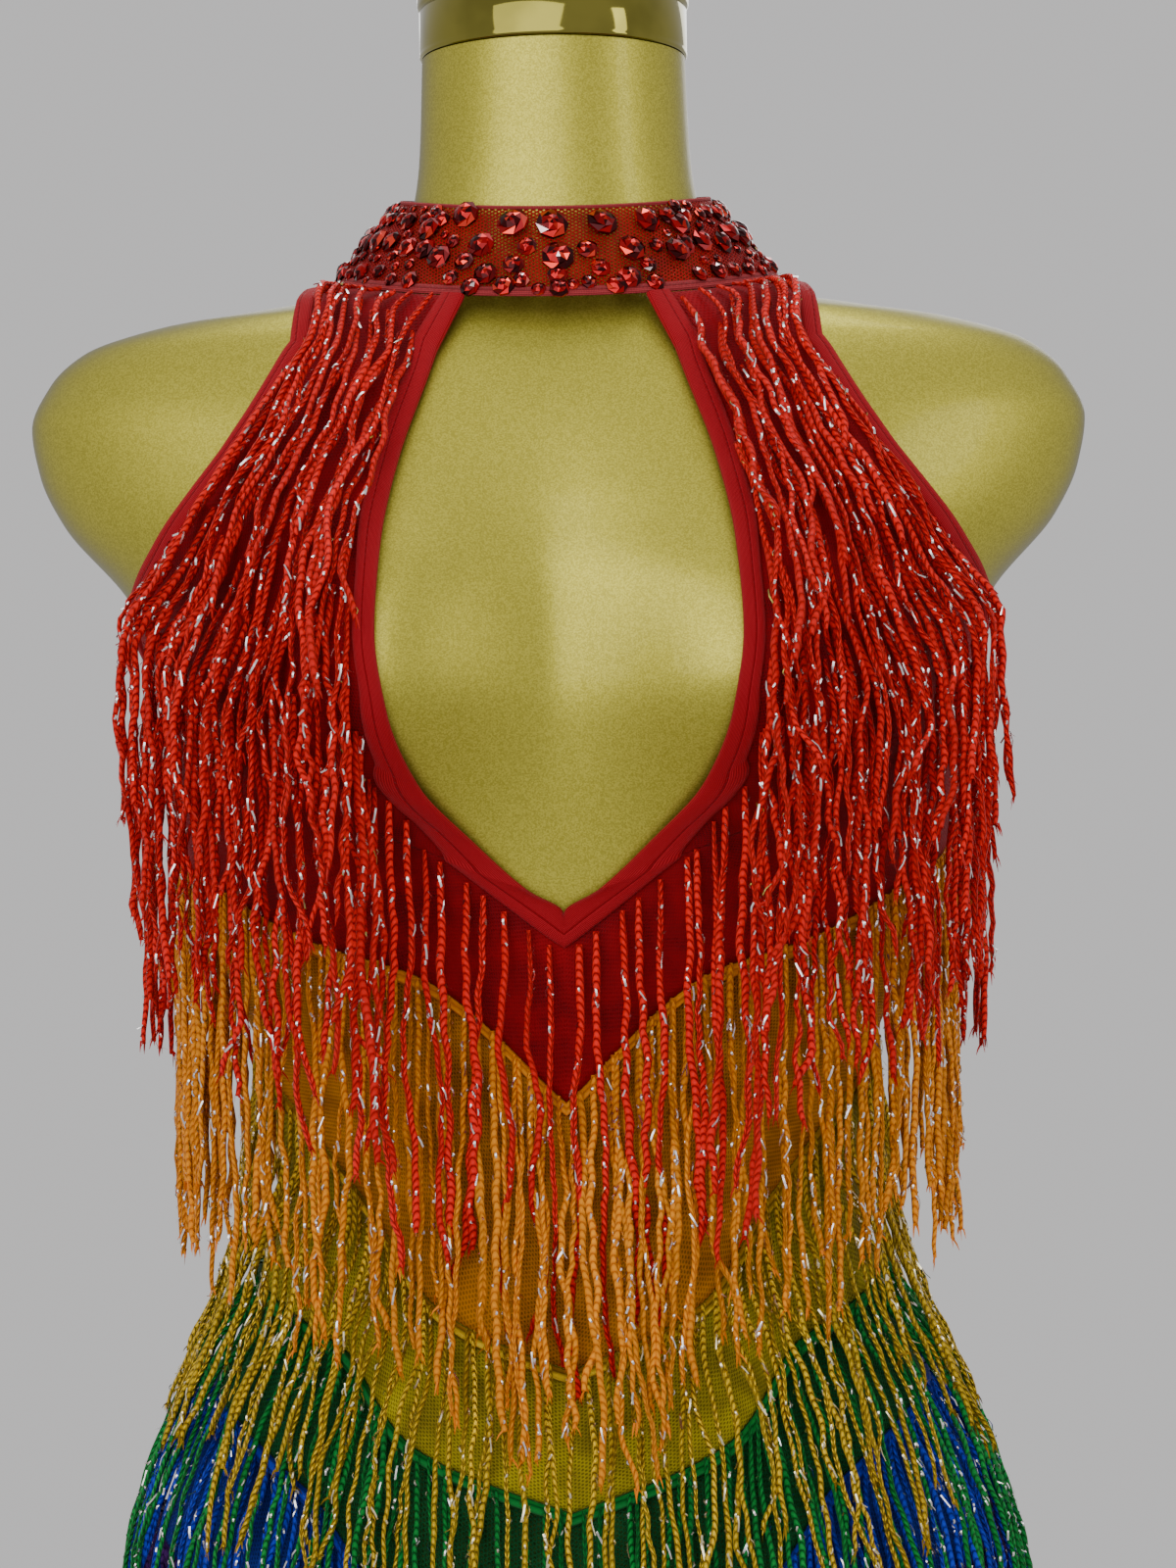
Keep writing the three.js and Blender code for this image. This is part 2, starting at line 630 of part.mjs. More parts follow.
// Angle and height at a share of the way across a course, on the wearer's side at +X.
function halterPlace(course, share) {
  if (course > LAST_COURSE) {
    const from = halterPlace(LAST_COURSE, share);
    const edge = collarPoint(shoulderAngle(share), 0, 0).multiplyScalar(COLLAR_JOIN.spread);
    const x = trunk.half(from.z) * Math.sin(radians(from.angle));
    const y = -trunk.front(from.z) * Math.cos(radians(from.angle));
    const t = Math.min(course - LAST_COURSE, 1);
    return shoulderPlace(lerp(x, edge.x, t), lerp(y, edge.y, t));
  }
  const innerZ = courseCurves.innerZ(course);
  const innerAngle = course <= APEX_COURSE ? 0 : angleAt(courseCurves.innerX(course), innerZ);
  const angle = lerp(innerAngle, outerAngle(course), share);
  const straight = lerp(innerZ, courseCurves.outerZ(course), share);
  const seamAngle = lerp(0, outerAngle(0), share);
  const straightSeam = lerp(SEAMS[0].at0, SEAMS[0].at90, share);
  const fade = clamp(1 - course / (APEX_COURSE + 1), 0, 1);
  const bend = (seamHeight(0, seamAngle) - straightSeam) * fade;
  return { angle, z: straight + bend + (course === 0 ? SEAM_GAP / 2 : 0) };
}

// Length of a course over the trunk.
function courseLength(course) {
  const steps = 8;
  const along = stationsBetween(0, 1, steps).map((share) => {
    const { angle, z } = halterPlace(course, share);
    return trunkPoint(angle, z);
  });
  return along.slice(1).reduce((sum, point, i) => sum + point.distanceTo(along[i]), 0);
}

// Share of a course that a binding of even width takes at its inner (0) or outer (1) end.
function borderShare(course, end) {
  const step = 0.05;
  const at = (station, share) => {
    const { angle, z } = halterPlace(station, share);
    return trunkPoint(angle, z);
  };
  const inward = end === 0 ? step : 1 - step;
  const across = at(course, inward).sub(at(course, end)).normalize();
  const low = end === 0 && course <= APEX_COURSE ? course - step : course;
  const along = at(low + step, end).sub(at(low - step, end)).normalize();
  const slant = Math.max(across.cross(along).length(), 0.3);
  return BINDING_WIDTH / (courseLength(course) * slant);
}

// Shares across a course: a border of the binding's width at each end, even steps between.
const HALTER_COLUMNS = 9;
function courseShares(course) {
  const [first, last] = [borderShare(course, 0), borderShare(course, 1)];
  return [0, ...stationsBetween(first, 1 - last, HALTER_COLUMNS - 2), 1];
}

const SHOULDER_STATIONS = [0.3, 0.62, 1, 2].map((step) => LAST_COURSE + step);

// Stations up one half of the red top from a course to the collar.
function stationsUp(course) {
  return [...stationsBetween(course, LAST_COURSE, LAST_COURSE - course), ...SHOULDER_STATIONS];
}

// A point of the layer `out` at a column of a station; the last station is the collar's edge.
function halterPoint(station, column, side, out) {
  const share = courseShares(Math.min(station, SHOULDER_COURSE))[column];
  if (station > SHOULDER_COURSE) {
    return collarPoint(side * joinAngle(share), -COLLAR_JOIN.seam, out - CLOTH_GAP);
  }
  const { angle, z } = halterPlace(station, share);
  return onTrunk(side * angle, z, out);
}

const halterPair = (station, column, side) =>
  [CLOTH_GAP, CLOTH_OUT].map((out) => halterPoint(station, column, side, out));
const halterTrim = (station, column, side) =>
  [TRIM_GAP, TRIM_GAP + TRIM_THICKNESS].map((out) => halterPoint(station, column, side, out));

function frontRedGeometry() {
  const sheet = new Sheet();
  const stations = stationsUp(0);
  for (const side of [1, -1]) {
    sheet.addGrid(HALTER_COLUMNS, stations.length - 1, (i, j) => {
      const column = side > 0 ? i : HALTER_COLUMNS - i;
      return halterPair(stations[j], column, side);
    }, side < 0);
  }
  return sheet.geometry();
}

function keyholeBindingGeometry() {
  const sheet = new Sheet();
  const stations = stationsUp(APEX_COURSE);
  for (const side of [1, -1]) {
    sheet.addGrid(1, stations.length - 1, (i, j) => {
      const outerEdge = (i === 1) === (side > 0);
      if (j === 0 && outerEdge) return trimPair(0, COURSES[APEX_COURSE - 1].innerZ);
      return halterTrim(stations[j], outerEdge ? 1 : 0, side);
    }, side < 0);
  }
  return sheet.geometry();
}

const UNDERARM_COURSE = 4;

function armholeBindingGeometry(side) {
  const sheet = new Sheet();
  const stations = stationsUp(UNDERARM_COURSE);
  sheet.addGrid(1, stations.length - 1, (i, j) => {
    const outerEdge = (i === 1) === (side > 0);
    if (j === 0 && !outerEdge) {
      const cut = COURSES[UNDERARM_COURSE].outerZ - BINDING_WIDTH;
      return trimPair(side * outerAngle(UNDERARM_COURSE), cut);
    }
    return halterTrim(stations[j], HALTER_COLUMNS - (outerEdge ? 0 : 1), side);
  }, side < 0);
  return sheet.geometry();
}

function backTop(angle) {
  const behind = (180 - Math.abs(angle)) / 90;
  return lerp(BACK_TOP.centre, BACK_TOP.side, smooth(behind));
}

function backBindingGeometry() {
  const angles = panelAngles(false);
  const sheet = new Sheet();
  sheet.addGrid(BACK_COLUMNS, 1, (i, j) =>
    trimPair(angles[i], backTop(angles[i]) - BINDING_WIDTH * (1 - j)));
  return sheet.geometry();
}

// The red back: rows end under the fringe's tape and under the binding along its top.
function backRedGeometry() {
  const angles = panelAngles(false);
  const sheet = new Sheet();
  const evenRows = 3;
  sheet.addGrid(BACK_COLUMNS, evenRows + 2, (i, j) => {
    const low = seamHeight(0, angles[i]) + SEAM_GAP / 2;
    const high = backTop(angles[i]);
    const heights = panelHeights(low, high - BINDING_WIDTH, evenRows, FRINGE_TAPE + 1);
    return clothPair(angles[i], [...heights, high][j]);
  });
  return sheet.geometry();
}

function buildRedTop() {
  addMesh('front_red', frontRedGeometry(), 'red');
  addMesh('back_red', backRedGeometry(), 'red');
  addMesh('keyhole_binding', keyholeBindingGeometry(), 'binding');
  addMesh('armhole_binding_right', armholeBindingGeometry(1), 'binding');
  addMesh('armhole_binding_left', armholeBindingGeometry(-1), 'binding');
  addMesh('back_binding', backBindingGeometry(), 'binding');
}

// ------------------------------------------------------------------------------------ the collar
function collarPoint(angle, rise, out) {
  const front = (1 + Math.cos(radians(angle))) / 2;
  const edge = ({ front: ahead, side, back, half, depthFront, depthBack }) => {
    const middle = (ahead + back) / 2;
    const cosine = Math.cos(radians(angle));
    const z = side + (middle - side) * cosine * cosine + ((ahead - back) / 2) * cosine;
    const depth = lerp(depthBack, depthFront, front);
    return new THREE.Vector3(half * Math.sin(radians(angle)), -depth * cosine, z);
  };
  const lower = edge(COLLAR_EDGE.lower);
  const upper = edge(COLLAR_EDGE.upper);
  const along = upper.clone().sub(lower);
  const round = new THREE.Vector3(Math.cos(radians(angle)), Math.sin(radians(angle)), 0);
  const normal = round.cross(along).normalize();
  return lower.lerp(upper, rise).addScaledVector(normal, out);
}

function collarGeometry() {
  const { columns, rows, stoneRise } = COLLAR;
  const gap = 0.3;
  const sheet = new Sheet();
  sheet.addGrid(columns, rows, (i, j) => {
    const angle = lerp(-180 + gap, 180 - gap, i / columns);
    const atEdge = i < 2 || i > columns - 2 || j === 0 || j === rows;
    const stone = !atEdge && (i + j) % 2 === 0 ? stoneRise : 0;
    const rise = j / rows;
    return [collarPoint(angle, rise, 0), collarPoint(angle, rise, CLOTH_THICKNESS + stone)];
  });
  return sheet.geometry();
}

// Hook tape over the meeting ends at the back of the collar.
function collarTapeGeometry() {
  const sheet = new Sheet();
  const lift = CLOTH_THICKNESS + 0.45;
  sheet.addGrid(4, 1, (i, j) => {
    const angle = 180 + lerp(-6, 6, i / 4);
    const rise = lerp(0.06, 0.94, j);
    return [collarPoint(angle, rise, lift), collarPoint(angle, rise, lift + TRIM_THICKNESS)];
  });
  return sheet.geometry();
}

function buildCollar() {
  addMesh('collar_band', collarGeometry(), 'red');
  addMesh('collar_hook_tape', collarTapeGeometry(), 'binding');
}

// ------------------------------------------------------------------------------------ the fringe
// The way one lock falls from its root: `place(drop)` gives the angle and height on the trunk
// after a drop, and where the trunk recedes the lock hangs straight down.
function fallPath(root, place, row, length) {
  const below = place(length);
  const outward = trunkNormal(below.angle, clamp(below.z, HIP_LEVEL + 40, 575)).setZ(0).normalize();
  const path = [root];
  for (let k = 1; k <= LOCK_STEPS; k += 1) {
    const drop = (length * k) / LOCK_STEPS;
    const { angle, z } = place(drop);
    const out = lerp(TRIM_GAP, row.out, smooth(drop / row.settle));
    const lying = onTrunk(angle, Math.max(z, HIP_LEVEL), out).setZ(z);
    const before = path.at(-1);
    if (lying.dot(outward) < before.dot(outward)) lying.setX(before.x).setY(before.y);
    path.push(lying);
  }
  return { path, outward };
}

// The middle of one column of a tape, where a lock is rooted inside the tape's thickness.
function rootIn(pair, column) {
  const [low, lowNext] = [pair(column, 0), pair(column + 1, 0)];
  const [high, highNext] = [pair(column, 1), pair(column + 1, 1)];
  const side = (lower, upper, layer) => lower[layer].clone().lerp(upper[layer], LOCK_ROOT);
  const middle = (layer) => side(low, high, layer).lerp(side(lowNext, highNext, layer), 0.5);
  const [inner, outer] = [middle(0), middle(1)];
  return {
    point: inner.clone().lerp(outer, 0.5),
    outward: outer.clone().sub(inner).normalize(),
    aside: side(lowNext, highNext, 0).sub(side(low, high, 0)).normalize(),
  };
}

// One lock: a three-sided strand that keeps its flat side to the body and thins to its tip.
function lockGeometry(root, { path, outward }, lockWidth = LOCK_WIDTH) {
  const aside = new THREE.Vector3(-outward.y, outward.x, 0);
  const rootAside = root.aside.clone().multiplyScalar(Math.sign(root.aside.dot(aside)));
  const rings = LOCK_STATIONS.map((station) => {
    const centre = path[Math.round(station * LOCK_STEPS)];
    const width = lockWidth * lerp(1, 0.6, station) * 0.5;
    const [sideways, forwards] = station === 0 ? [rootAside, root.outward] : [aside, outward];
    const half = LOCK_ROOT_DEPTH / 2;
    const [back, ahead] = station === 0 ? [-half, half] : [0, LOCK_DEPTH];
    return [
      centre.clone().addScaledVector(sideways, width).addScaledVector(forwards, back),
      centre.clone().addScaledVector(forwards, ahead),
      centre.clone().addScaledVector(sideways, -width).addScaledVector(forwards, back),
    ];
  });
  return loftGeometry(rings);
}

// Uneven ends, repeatable from a row's and a lock's number.
function lockLength(row, lock, room = Infinity) {
  const share = Math.abs(Math.sin(row * 12.9898 + lock * 78.233) * 43758.5453) % 1;
  return Math.min(FRINGE_LENGTH * lerp(0.86, 1, share), room);
}

// A level row of locks round the trunk, one under the middle of each wide column of its tape.
function levelFringe(rowNumber, angles, top, row) {
  const pair = (i, j) => trimPair(angles[i], top(angles[i]) - FRINGE_TAPE * (1 - j));
  const tape = new Sheet().addGrid(angles.length - 1, 1, pair);
  const locks = [];
  for (let k = 0; k < angles.length - 1; k += 1) {
    const width = (angles[k + 1] - angles[k] + 360) % 360;
    if (width < NARROW_COLUMN) continue;
    const angle = wrapped(angles[k] + width / 2);
    const root = rootIn(pair, k);
    const length = lockLength(rowNumber, k, root.point.z - FLOOR_CLEARANCE);
    const place = (drop) => ({ angle, z: root.point.z - drop });
    locks.push(lockGeometry(root, fallPath(root.point, place, row, length)));
  }
  return fused([tape.geometry(), ...locks]);
}

function chevronFringe(row, rowNumber, isFront) {
  const top = (angle) => seamHeight(row.seam, angle) - SEAM_GAP;
  return levelFringe(rowNumber, panelAngles(isFront), top, row);
}

function backRedFringe(rowNumber) {
  const top = (angle) => backTop(angle) - BINDING_WIDTH - 0.5;
  return levelFringe(rowNumber, panelAngles(false), top, BACK_RED_FRINGE);
}

// Steps down the cloth at one share of the way across, as far as the bust line, then straight.
function followCloth(course, share) {
  const route = stationsBetween(course, Math.min(course, BUST_COURSE), 24)
    .map((station) => halterPlace(station, share));
  return (drop) => {
    const z = route[0].z - drop;
    const next = route.findIndex((stop) => stop.z <= z);
    if (next === 0) return { angle: route[0].angle, z };
    if (next < 0) return { angle: route.at(-1).angle, z };
    const [above, under] = [route[next - 1], route[next]];
    return { angle: lerp(above.angle, under.angle, (above.z - z) / (above.z - under.z)), z };
  };
}

// Locks sewn along a course of the halter at +X follow the cloth down to the bust, then hang.
function halterFringe(row, rowNumber) {
  const columns = HALTER_COLUMNS - 3;
  const pair = (i, j) => {
    const course = row.course - TAPE_COURSES * (1 - j);
    const share = courseShares(course)[i + 1] + (i === 0 ? TAPE_INSET : 0);
    const { angle, z } = halterPlace(course, share);
    return trimPair(angle, z);
  };
  const tape = new Sheet().addGrid(columns, 1, pair);
  const shares = courseShares(row.course).slice(1);
  const rootCourse = row.course - TAPE_COURSES * (1 - LOCK_ROOT);
  const locks = [];
  for (let k = row.first; k < columns; k += row.stride) {
    const root = rootIn(pair, k);
    const place = followCloth(rootCourse, (shares[k] + shares[k + 1]) / 2);
    const path = fallPath(root.point, place, row, lockLength(rowNumber, k));
    locks.push(lockGeometry(root, path, row.lockWidth));
  }
  return fused([tape.geometry(), ...locks]);
}

// The same solid on the other side of the x = 0 plane.
function mirrored(geometry) {
  const other = geometry.clone().scale(-1, 1, 1);
  other.setIndex([...geometry.index.array].reverse());
  return other;
}

// Locks that hang from the lower edge of the keyhole's binding at +X, from close to its point
// up to the course where the bust row starts.
function keyholeFringe(rowNumber) {
  const courseStop = (course) => (beyond) => {
    const share = borderShare(course, 0) * (1 + (KEYHOLE_TAPE_GAP + beyond) / BINDING_WIDTH);
    return halterPlace(course, share);
  };
  const pointStop = (beyond) => ({
    angle: KEYHOLE_FRINGE.firstAngle,
    z: COURSES[APEX_COURSE - 1].innerZ - KEYHOLE_TAPE_GAP - beyond,
  });
  const [fourth, fifth] = KEYHOLE_FRINGE.courses.map(courseStop);
  const between = (beyond) => {
    const [a, b] = [pointStop(beyond), fourth(beyond)];
    return { angle: (a.angle + b.angle) / 2, z: (a.z + b.z) / 2 };
  };
  const stops = [pointStop, between, fourth, fifth];
  const pair = (i, j) => {
    const { angle, z } = stops[i](j === 0 ? FRINGE_TAPE : 0);
    return trimPair(angle, z);
  };
  const cells = stops.length - 1;
  const tape = new Sheet().addGrid(cells, 1, pair);
  const locks = [];
  for (let k = 0; k < cells; k += 1) {
    const root = rootIn(pair, k);
    const angle = angleAt(root.point.x, root.point.z);
    const place = (drop) => ({ angle, z: root.point.z - drop });
    const length = lockLength(rowNumber, k);
    locks.push(lockGeometry(root, fallPath(root.point, place, KEYHOLE_FRINGE, length)));
  }
  return fused([tape.geometry(), ...locks]);
}

function buildFringe() {
  CHEVRON_FRINGE.forEach((row, n) => {
    const finish = `strand${row.name[0].toUpperCase()}${row.name.slice(1)}`;
    addMesh(`fringe_${row.name}_front`, chevronFringe(row, n, true), finish);
    addMesh(`fringe_${row.name}_back`, chevronFringe(row, n + 10, false), finish);
  });
  const halterRows = HALTER_FRINGE.map((row, n) => [row.name, halterFringe(row, 20 + n)]);
  for (const [name, geometry] of [...halterRows, ['keyhole', keyholeFringe(30)]]) {
    addMesh(`fringe_red_${name}_right`, geometry, 'strandRed');
    addMesh(`fringe_red_${name}_left`, mirrored(geometry), 'strandRed');
  }
  addMesh('fringe_red_back', backRedFringe(40), 'strandRed');
}

buildForm();
buildCollar();
buildRedTop();
buildChevronPanels();
buildLowestPanels();
buildFringe();

// The origin is the middle of the whole box's underside.
const middle = new THREE.Box3().setFromObject(part).getCenter(new THREE.Vector3());
part.children.forEach((mesh) => mesh.geometry.translate(-middle.x, -middle.y, 0));

export default part;
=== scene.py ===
"""Fringe bodysuit on a limbless dress form, dressed for rendering.

The cloth, the bindings, the crystals and every strand of the fringe are worked out from the
same sizes as the solids. Lengths are millimetres until a mesh is made, and metres after that.
"""

import logging
import math
from dataclasses import dataclass, replace
from enum import Enum
from functools import partial
from typing import Callable, Sequence

import bmesh
import bpy
import numpy as np
from mathutils import Euler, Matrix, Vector


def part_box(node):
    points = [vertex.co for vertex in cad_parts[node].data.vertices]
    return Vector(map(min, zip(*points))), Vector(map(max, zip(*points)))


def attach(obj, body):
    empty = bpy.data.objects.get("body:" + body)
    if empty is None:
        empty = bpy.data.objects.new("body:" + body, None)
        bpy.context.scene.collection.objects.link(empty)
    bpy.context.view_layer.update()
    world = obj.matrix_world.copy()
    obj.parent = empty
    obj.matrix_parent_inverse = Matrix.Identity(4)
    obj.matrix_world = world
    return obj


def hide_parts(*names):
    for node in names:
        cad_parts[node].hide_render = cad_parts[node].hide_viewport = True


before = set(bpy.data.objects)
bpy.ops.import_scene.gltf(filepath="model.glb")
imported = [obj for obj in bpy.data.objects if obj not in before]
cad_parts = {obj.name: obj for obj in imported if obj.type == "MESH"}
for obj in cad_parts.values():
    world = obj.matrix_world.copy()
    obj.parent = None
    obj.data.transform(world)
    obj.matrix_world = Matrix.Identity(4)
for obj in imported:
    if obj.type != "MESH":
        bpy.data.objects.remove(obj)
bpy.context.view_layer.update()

LOG = logging.getLogger("fringe_bodysuit")
logging.basicConfig(level=logging.INFO, format="%(name)s: %(message)s")

Array = np.ndarray
Piece = bpy.types.Object
Random = np.random.Generator
MILLIMETRE = 0.001
CAP_LOW, CAP_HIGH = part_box("form_neck_cap")
SHIFT_Y = (CAP_LOW.y + CAP_HIGH.y) / 2
SEED = 2207

# ---- sizes shared with the solids
HIP_LEVEL = 160.0
BOWL_DROP = 53.0
NECK_TOP = 812.0
CAP_HEIGHT = 24.0
CLOTH_GAP = 2.1
CLOTH_MIDDLE = 2.7
TRIM_OUT = 4.1
BUST_EASE = 1.9
CROTCH_EASE = 1.0
BINDING_WIDTH = 8.0
LEG_BINDING_WIDTH = 6.0
SIDE_SEAM_GAP = 0.12
FLOOR_CLEARANCE = 6.0
FLECKED_LENGTH = 140.0
APEX_COURSE = 3
UNDERARM_COURSE = 4
BUST_COURSE = 5.0
SLIDE = 9.0
LAST_COURSE = 11.0
SHOULDER_COURSE = 12.0
COLLAR_COURSE = 13.0
SHOULDER_HEIGHTS = (656.0, 745.0)
COLLAR_JOIN = {"inner": 22.8, "shoulder": 27.6, "outer": 79.0, "spread": 1.1, "seam": 0.012}

TRUNK_COLUMNS = ("height", "half", "front", "back", "square")
TRUNK = (
    (160, 158, 84, 110, 2.04),
    (190, 162, 88, 115, 2.04),
    (243, 158, 88, 112, 2.04),
    (276, 148, 86, 103, 2.06),
    (314, 131, 83, 91, 2.15),
    (345, 117, 81, 84, 2.15),
    (395, 106, 79, 79, 2.15),
    (430, 111, 80, 81, 2.15),
    (471, 127, 84, 87, 2.2),
    (502, 139, 88, 91, 2.2),
    (540, 147, 92, 95, 2.2),
    (574, 150, 94, 97, 2.2),
    (607, 163, 94, 97, 2.15),
    (637, 188, 89, 95, 2.05),
    (656, 197, 84, 92, 2),
    (674, 200, 78, 88, 2),
    (690, 193, 71, 82, 2),
    (702, 180, 65, 76, 2),
    (711, 152, 60, 70, 2),
    (716, 118, 57, 66, 2),
    (721, 86, 55, 62, 2),
    (729, 69, 52, 57, 2),
    (745, 57, 49, 51, 2),
    (775, 51.5, 48, 49, 2),
    (812, 50, 49, 49, 2),
)
# Sections of a thigh stub: height, centre, half width and half depth.
THIGH = ((0, 90, 58, 66), (120, 93, 62, 72), (166, 92, 56, 68))
BUST = {"x": 72, "z": 574, "rise": 36, "wide": 47, "above": 66, "below": 44}

SEAM_ANGLES = (0, 22, 40, 65, 90)
SEAM_HEIGHTS = (
    (423, 469, 481, 502, 514),
    (327, 349, 385, 420, 440),
    (277, 299, 333, 347, 356),
    (230, 244, 283, 305, 314),
    (186, 196, 222, 250, 262),
)
SEAM_BACKS = (470, 385, 305, 262, 215)

# Each course of the halter: x and height of its inner edge, then of its outer edge.
COURSES = (
    (0, 423, 999, 514),
    (0, 454, 999, 540),
    (0, 479, 999, 565),
    (0, 491, 999, 582),
    (13, 500, 999, 592),
    (31, 517, 158, 604),
    (51, 540, 154, 614),
    (60.5, 564, 145, 627),
    (64, 590, 132, 643),
    (62, 621, 118, 661),
    (56, 652, 106, 680),
    (45.5, 684, 96, 697),
)
BACK_TOP = {"side": 592, "centre": 556}
LEG_LINE = {"side": 208.0, "gusset": 22.0}
# Even columns over a back panel and a halter half, and those between the middle and the leg.
COLUMNS = {"back": 14, "halter": 7, "back_leg": 3, "front_leg": 2}
COLLAR_LOWER = {"front": 713, "side": 728, "back": 735, "half": 84, "deep": 70, "deep_back": 68}
COLLAR_UPPER = {"front": 748, "side": 759, "back": 766, "half": 57.5, "deep": 54, "deep_back": 55}


# ---- maths
class MonotoneCurve:
    """Cubic curve through given points that never overshoots between them."""

    def __init__(self, at: Sequence[float], value: Sequence[float]) -> None:
        """Work out the tangents.

        Args:
            at: Ascending positions.
            value: Value at each position.
        """
        self.at = np.asarray(at, float)
        self.value = np.asarray(value, float)
        slope = np.diff(self.value) / np.diff(self.at)
        before, after = slope[:-1], slope[1:]
        turning = before * after <= 0
        total = np.where(turning, 1.0, before + after)
        inner = np.where(turning, 0.0, 2 * before * after / total)
        self.tangent = np.concatenate([slope[:1], inner, slope[-1:]])

    def __call__(self, x: Array | float) -> Array:
        """Value of the curve.

        Args:
            x: Positions, held inside the curve's range.

        Returns:
            The value at each position.
        """
        place = np.clip(np.asarray(x, float), self.at[0], self.at[-1])
        i = np.clip(np.searchsorted(self.at, place, "right") - 1, 0, len(self.at) - 2)
        step = self.at[i + 1] - self.at[i]
        t = (place - self.at[i]) / step
        rise = self.value[i + 1] - self.value[i]
        bend = self.tangent[i] * step - rise
        back = rise - self.tangent[i + 1] * step
        return self.value[i] + t * rise + t * (1 - t) * ((1 - t) * bend + t * back)


def smooth(t: Array | float) -> Array:
    """Smooth step, 3t^2 - 2t^3, of a share t that is held between 0 and 1."""
    t = np.clip(t, 0, 1)
    return t * t * (3 - 2 * t)


def unit(v: Array) -> Array:
    """Vectors along the last axis, scaled to length 1."""
    return v / np.maximum(np.linalg.norm(v, axis=-1, keepdims=True), 1e-9)


def signed_power(value: Array, power: Array | float) -> Array:
    """Power of the size of a value that keeps its sign."""
    return np.sign(value) * np.abs(value) ** power


def lerp(a: Array | float, b: Array | float, t: Array | float) -> Array:
    """Straight blend from a, at share 0, to b, at share 1."""
    return a + (b - a) * t


# ---- the surfaces
class Trunk:
    """Outside of the dress form, as super-ellipse sections with two smooth mounds in front.

    An angle of 0 degrees is the front centre and 90 is the wearer's side at +X.
    """

    def __init__(self) -> None:
        """Fit a curve to each column of the section table."""
        heights, *columns = np.asarray(TRUNK, float).T
        self.curves = {
            name: MonotoneCurve(heights, values) for name, values in zip(TRUNK_COLUMNS[1:], columns)
        }

    def bust_rise(self, x: Array, z: Array) -> Array:
        """How far the mounds stand out: a bell in x and in z about each centre.

        Args:
            x: Places across.
            z: Heights.

        Returns:
            The rise.
        """
        tall = np.where(z > BUST["z"], BUST["above"], BUST["below"])
        beside = (np.abs(x) - BUST["x"]) / BUST["wide"]
        along = (z - BUST["z"]) / tall
        return BUST["rise"] * np.exp(-beside * beside - along * along)

    def point(self, angle: Array, z: Array) -> Array:
        """Points of the bare surface.

        Args:
            angle: Angles in degrees.
            z: Heights.

        Returns:
            Points, with x, y and z along the last axis.
        """
        angle, z = np.broadcast_arrays(np.asarray(angle, float), np.asarray(z, float))
        power = 2 / self.curves["square"](z)
        across, ahead = np.sin(np.radians(angle)), np.cos(np.radians(angle))
        x = self.curves["half"](z) * signed_power(across, power)
        depth = np.where(ahead > 0, self.curves["front"](z), self.curves["back"](z))
        bust = np.where(ahead > 0, self.bust_rise(x, z) * smooth(ahead / 0.35), 0)
        return np.stack([x, -depth * signed_power(ahead, power) - bust, z], -1)

    def normal(self, angle: Array, z: Array) -> Array:
        """Outward unit normals, from differences along both parameters.

        Args:
            angle: Angles in degrees.
            z: Heights.

        Returns:
            The normals.
        """
        step = 0.4
        angle, z = np.asarray(angle, float), np.asarray(z, float)
        around = self.point(angle + step, z) - self.point(angle - step, z)
        up = self.point(angle, z + step * 2) - self.point(angle, z - step * 2)
        return unit(np.cross(around, up))

    def layer(self, angle: Array, z: Array, out: Array | float) -> Array:
        """Points of a layer that stands off the trunk, with its ease over the bust.

        Args:
            angle: Angles in degrees.
            z: Heights.
            out: How far the layer stands off.

        Returns:
            The points.
        """
        point = self.point(angle, z)
        front = np.cos(np.radians(angle)) > 0
        over = np.where(front, 3 * self.bust_rise(point[..., 0], z) / BUST["rise"], 0)
        reach = np.asarray(out + BUST_EASE * np.minimum(over, 1))
        return point + self.normal(angle, z) * reach[..., None]

    def shoulder_place(self, x: Array, y: Array) -> tuple[Array, Array]:
        """Place on the shoulders above or below a place in plan, found by halving.

        Args:
            x: Places across.
            y: Places ahead, below zero.

        Returns:
            Angles in degrees and heights.
        """
        half, front = self.curves["half"], self.curves["front"]
        low, high = (np.full(np.shape(x), level) for level in SHOULDER_HEIGHTS)
        for _ in range(24):
            z = (low + high) / 2
            beyond = (x / half(z)) ** 2 + (y / front(z)) ** 2 > 1
            low, high = np.where(beyond, low, z), np.where(beyond, z, high)
        return np.degrees(np.arctan2(x / half(low), -y / front(low))), low

    def angle_at(self, x: Array, z: Array) -> Array:
        """Angle in degrees, in front, at which the surface has a given x at a height."""
        share = np.clip(np.abs(x) / self.curves["half"](z), 0, 1)
        return np.sign(x) * np.degrees(np.arcsin(share ** (self.curves["square"](z) / 2)))

    def bowl(self, angle: Array, turn: Array, out: Array | float) -> Array:
        """Points of the bowl under the hips.

        Args:
            angle: Angles across the front, -90 to 90 degrees.
            turn: 0 at the front to 180 degrees at the back.
            out: How far the layer stands off.

        Returns:
            The points.
        """
        angle, turn = np.broadcast_arrays(np.asarray(angle, float), np.asarray(turn, float))
        level = HIP_LEVEL
        power = 2 / self.curves["square"](level)
        x = (self.curves["half"](level) + out) * signed_power(np.sin(np.radians(angle)), power)
        share = np.abs(np.cos(np.radians(angle))) ** power
        front, back = self.curves["front"](level), self.curves["back"](level)
        depth = lerp(front, back, smooth(turn / 180)) + out
        y = -depth * share * np.cos(np.radians(turn))
        z = level - (BOWL_DROP + out) * share * np.sin(np.radians(turn))
        return np.stack([x, y, z], -1)


TRUNK_SHAPE = Trunk()


def seam_edge(index: int, above: float, angle: Array) -> Array:
    """Height of a line a little above a chevron seam, at angles in degrees."""
    return seam_height(index, angle) + above


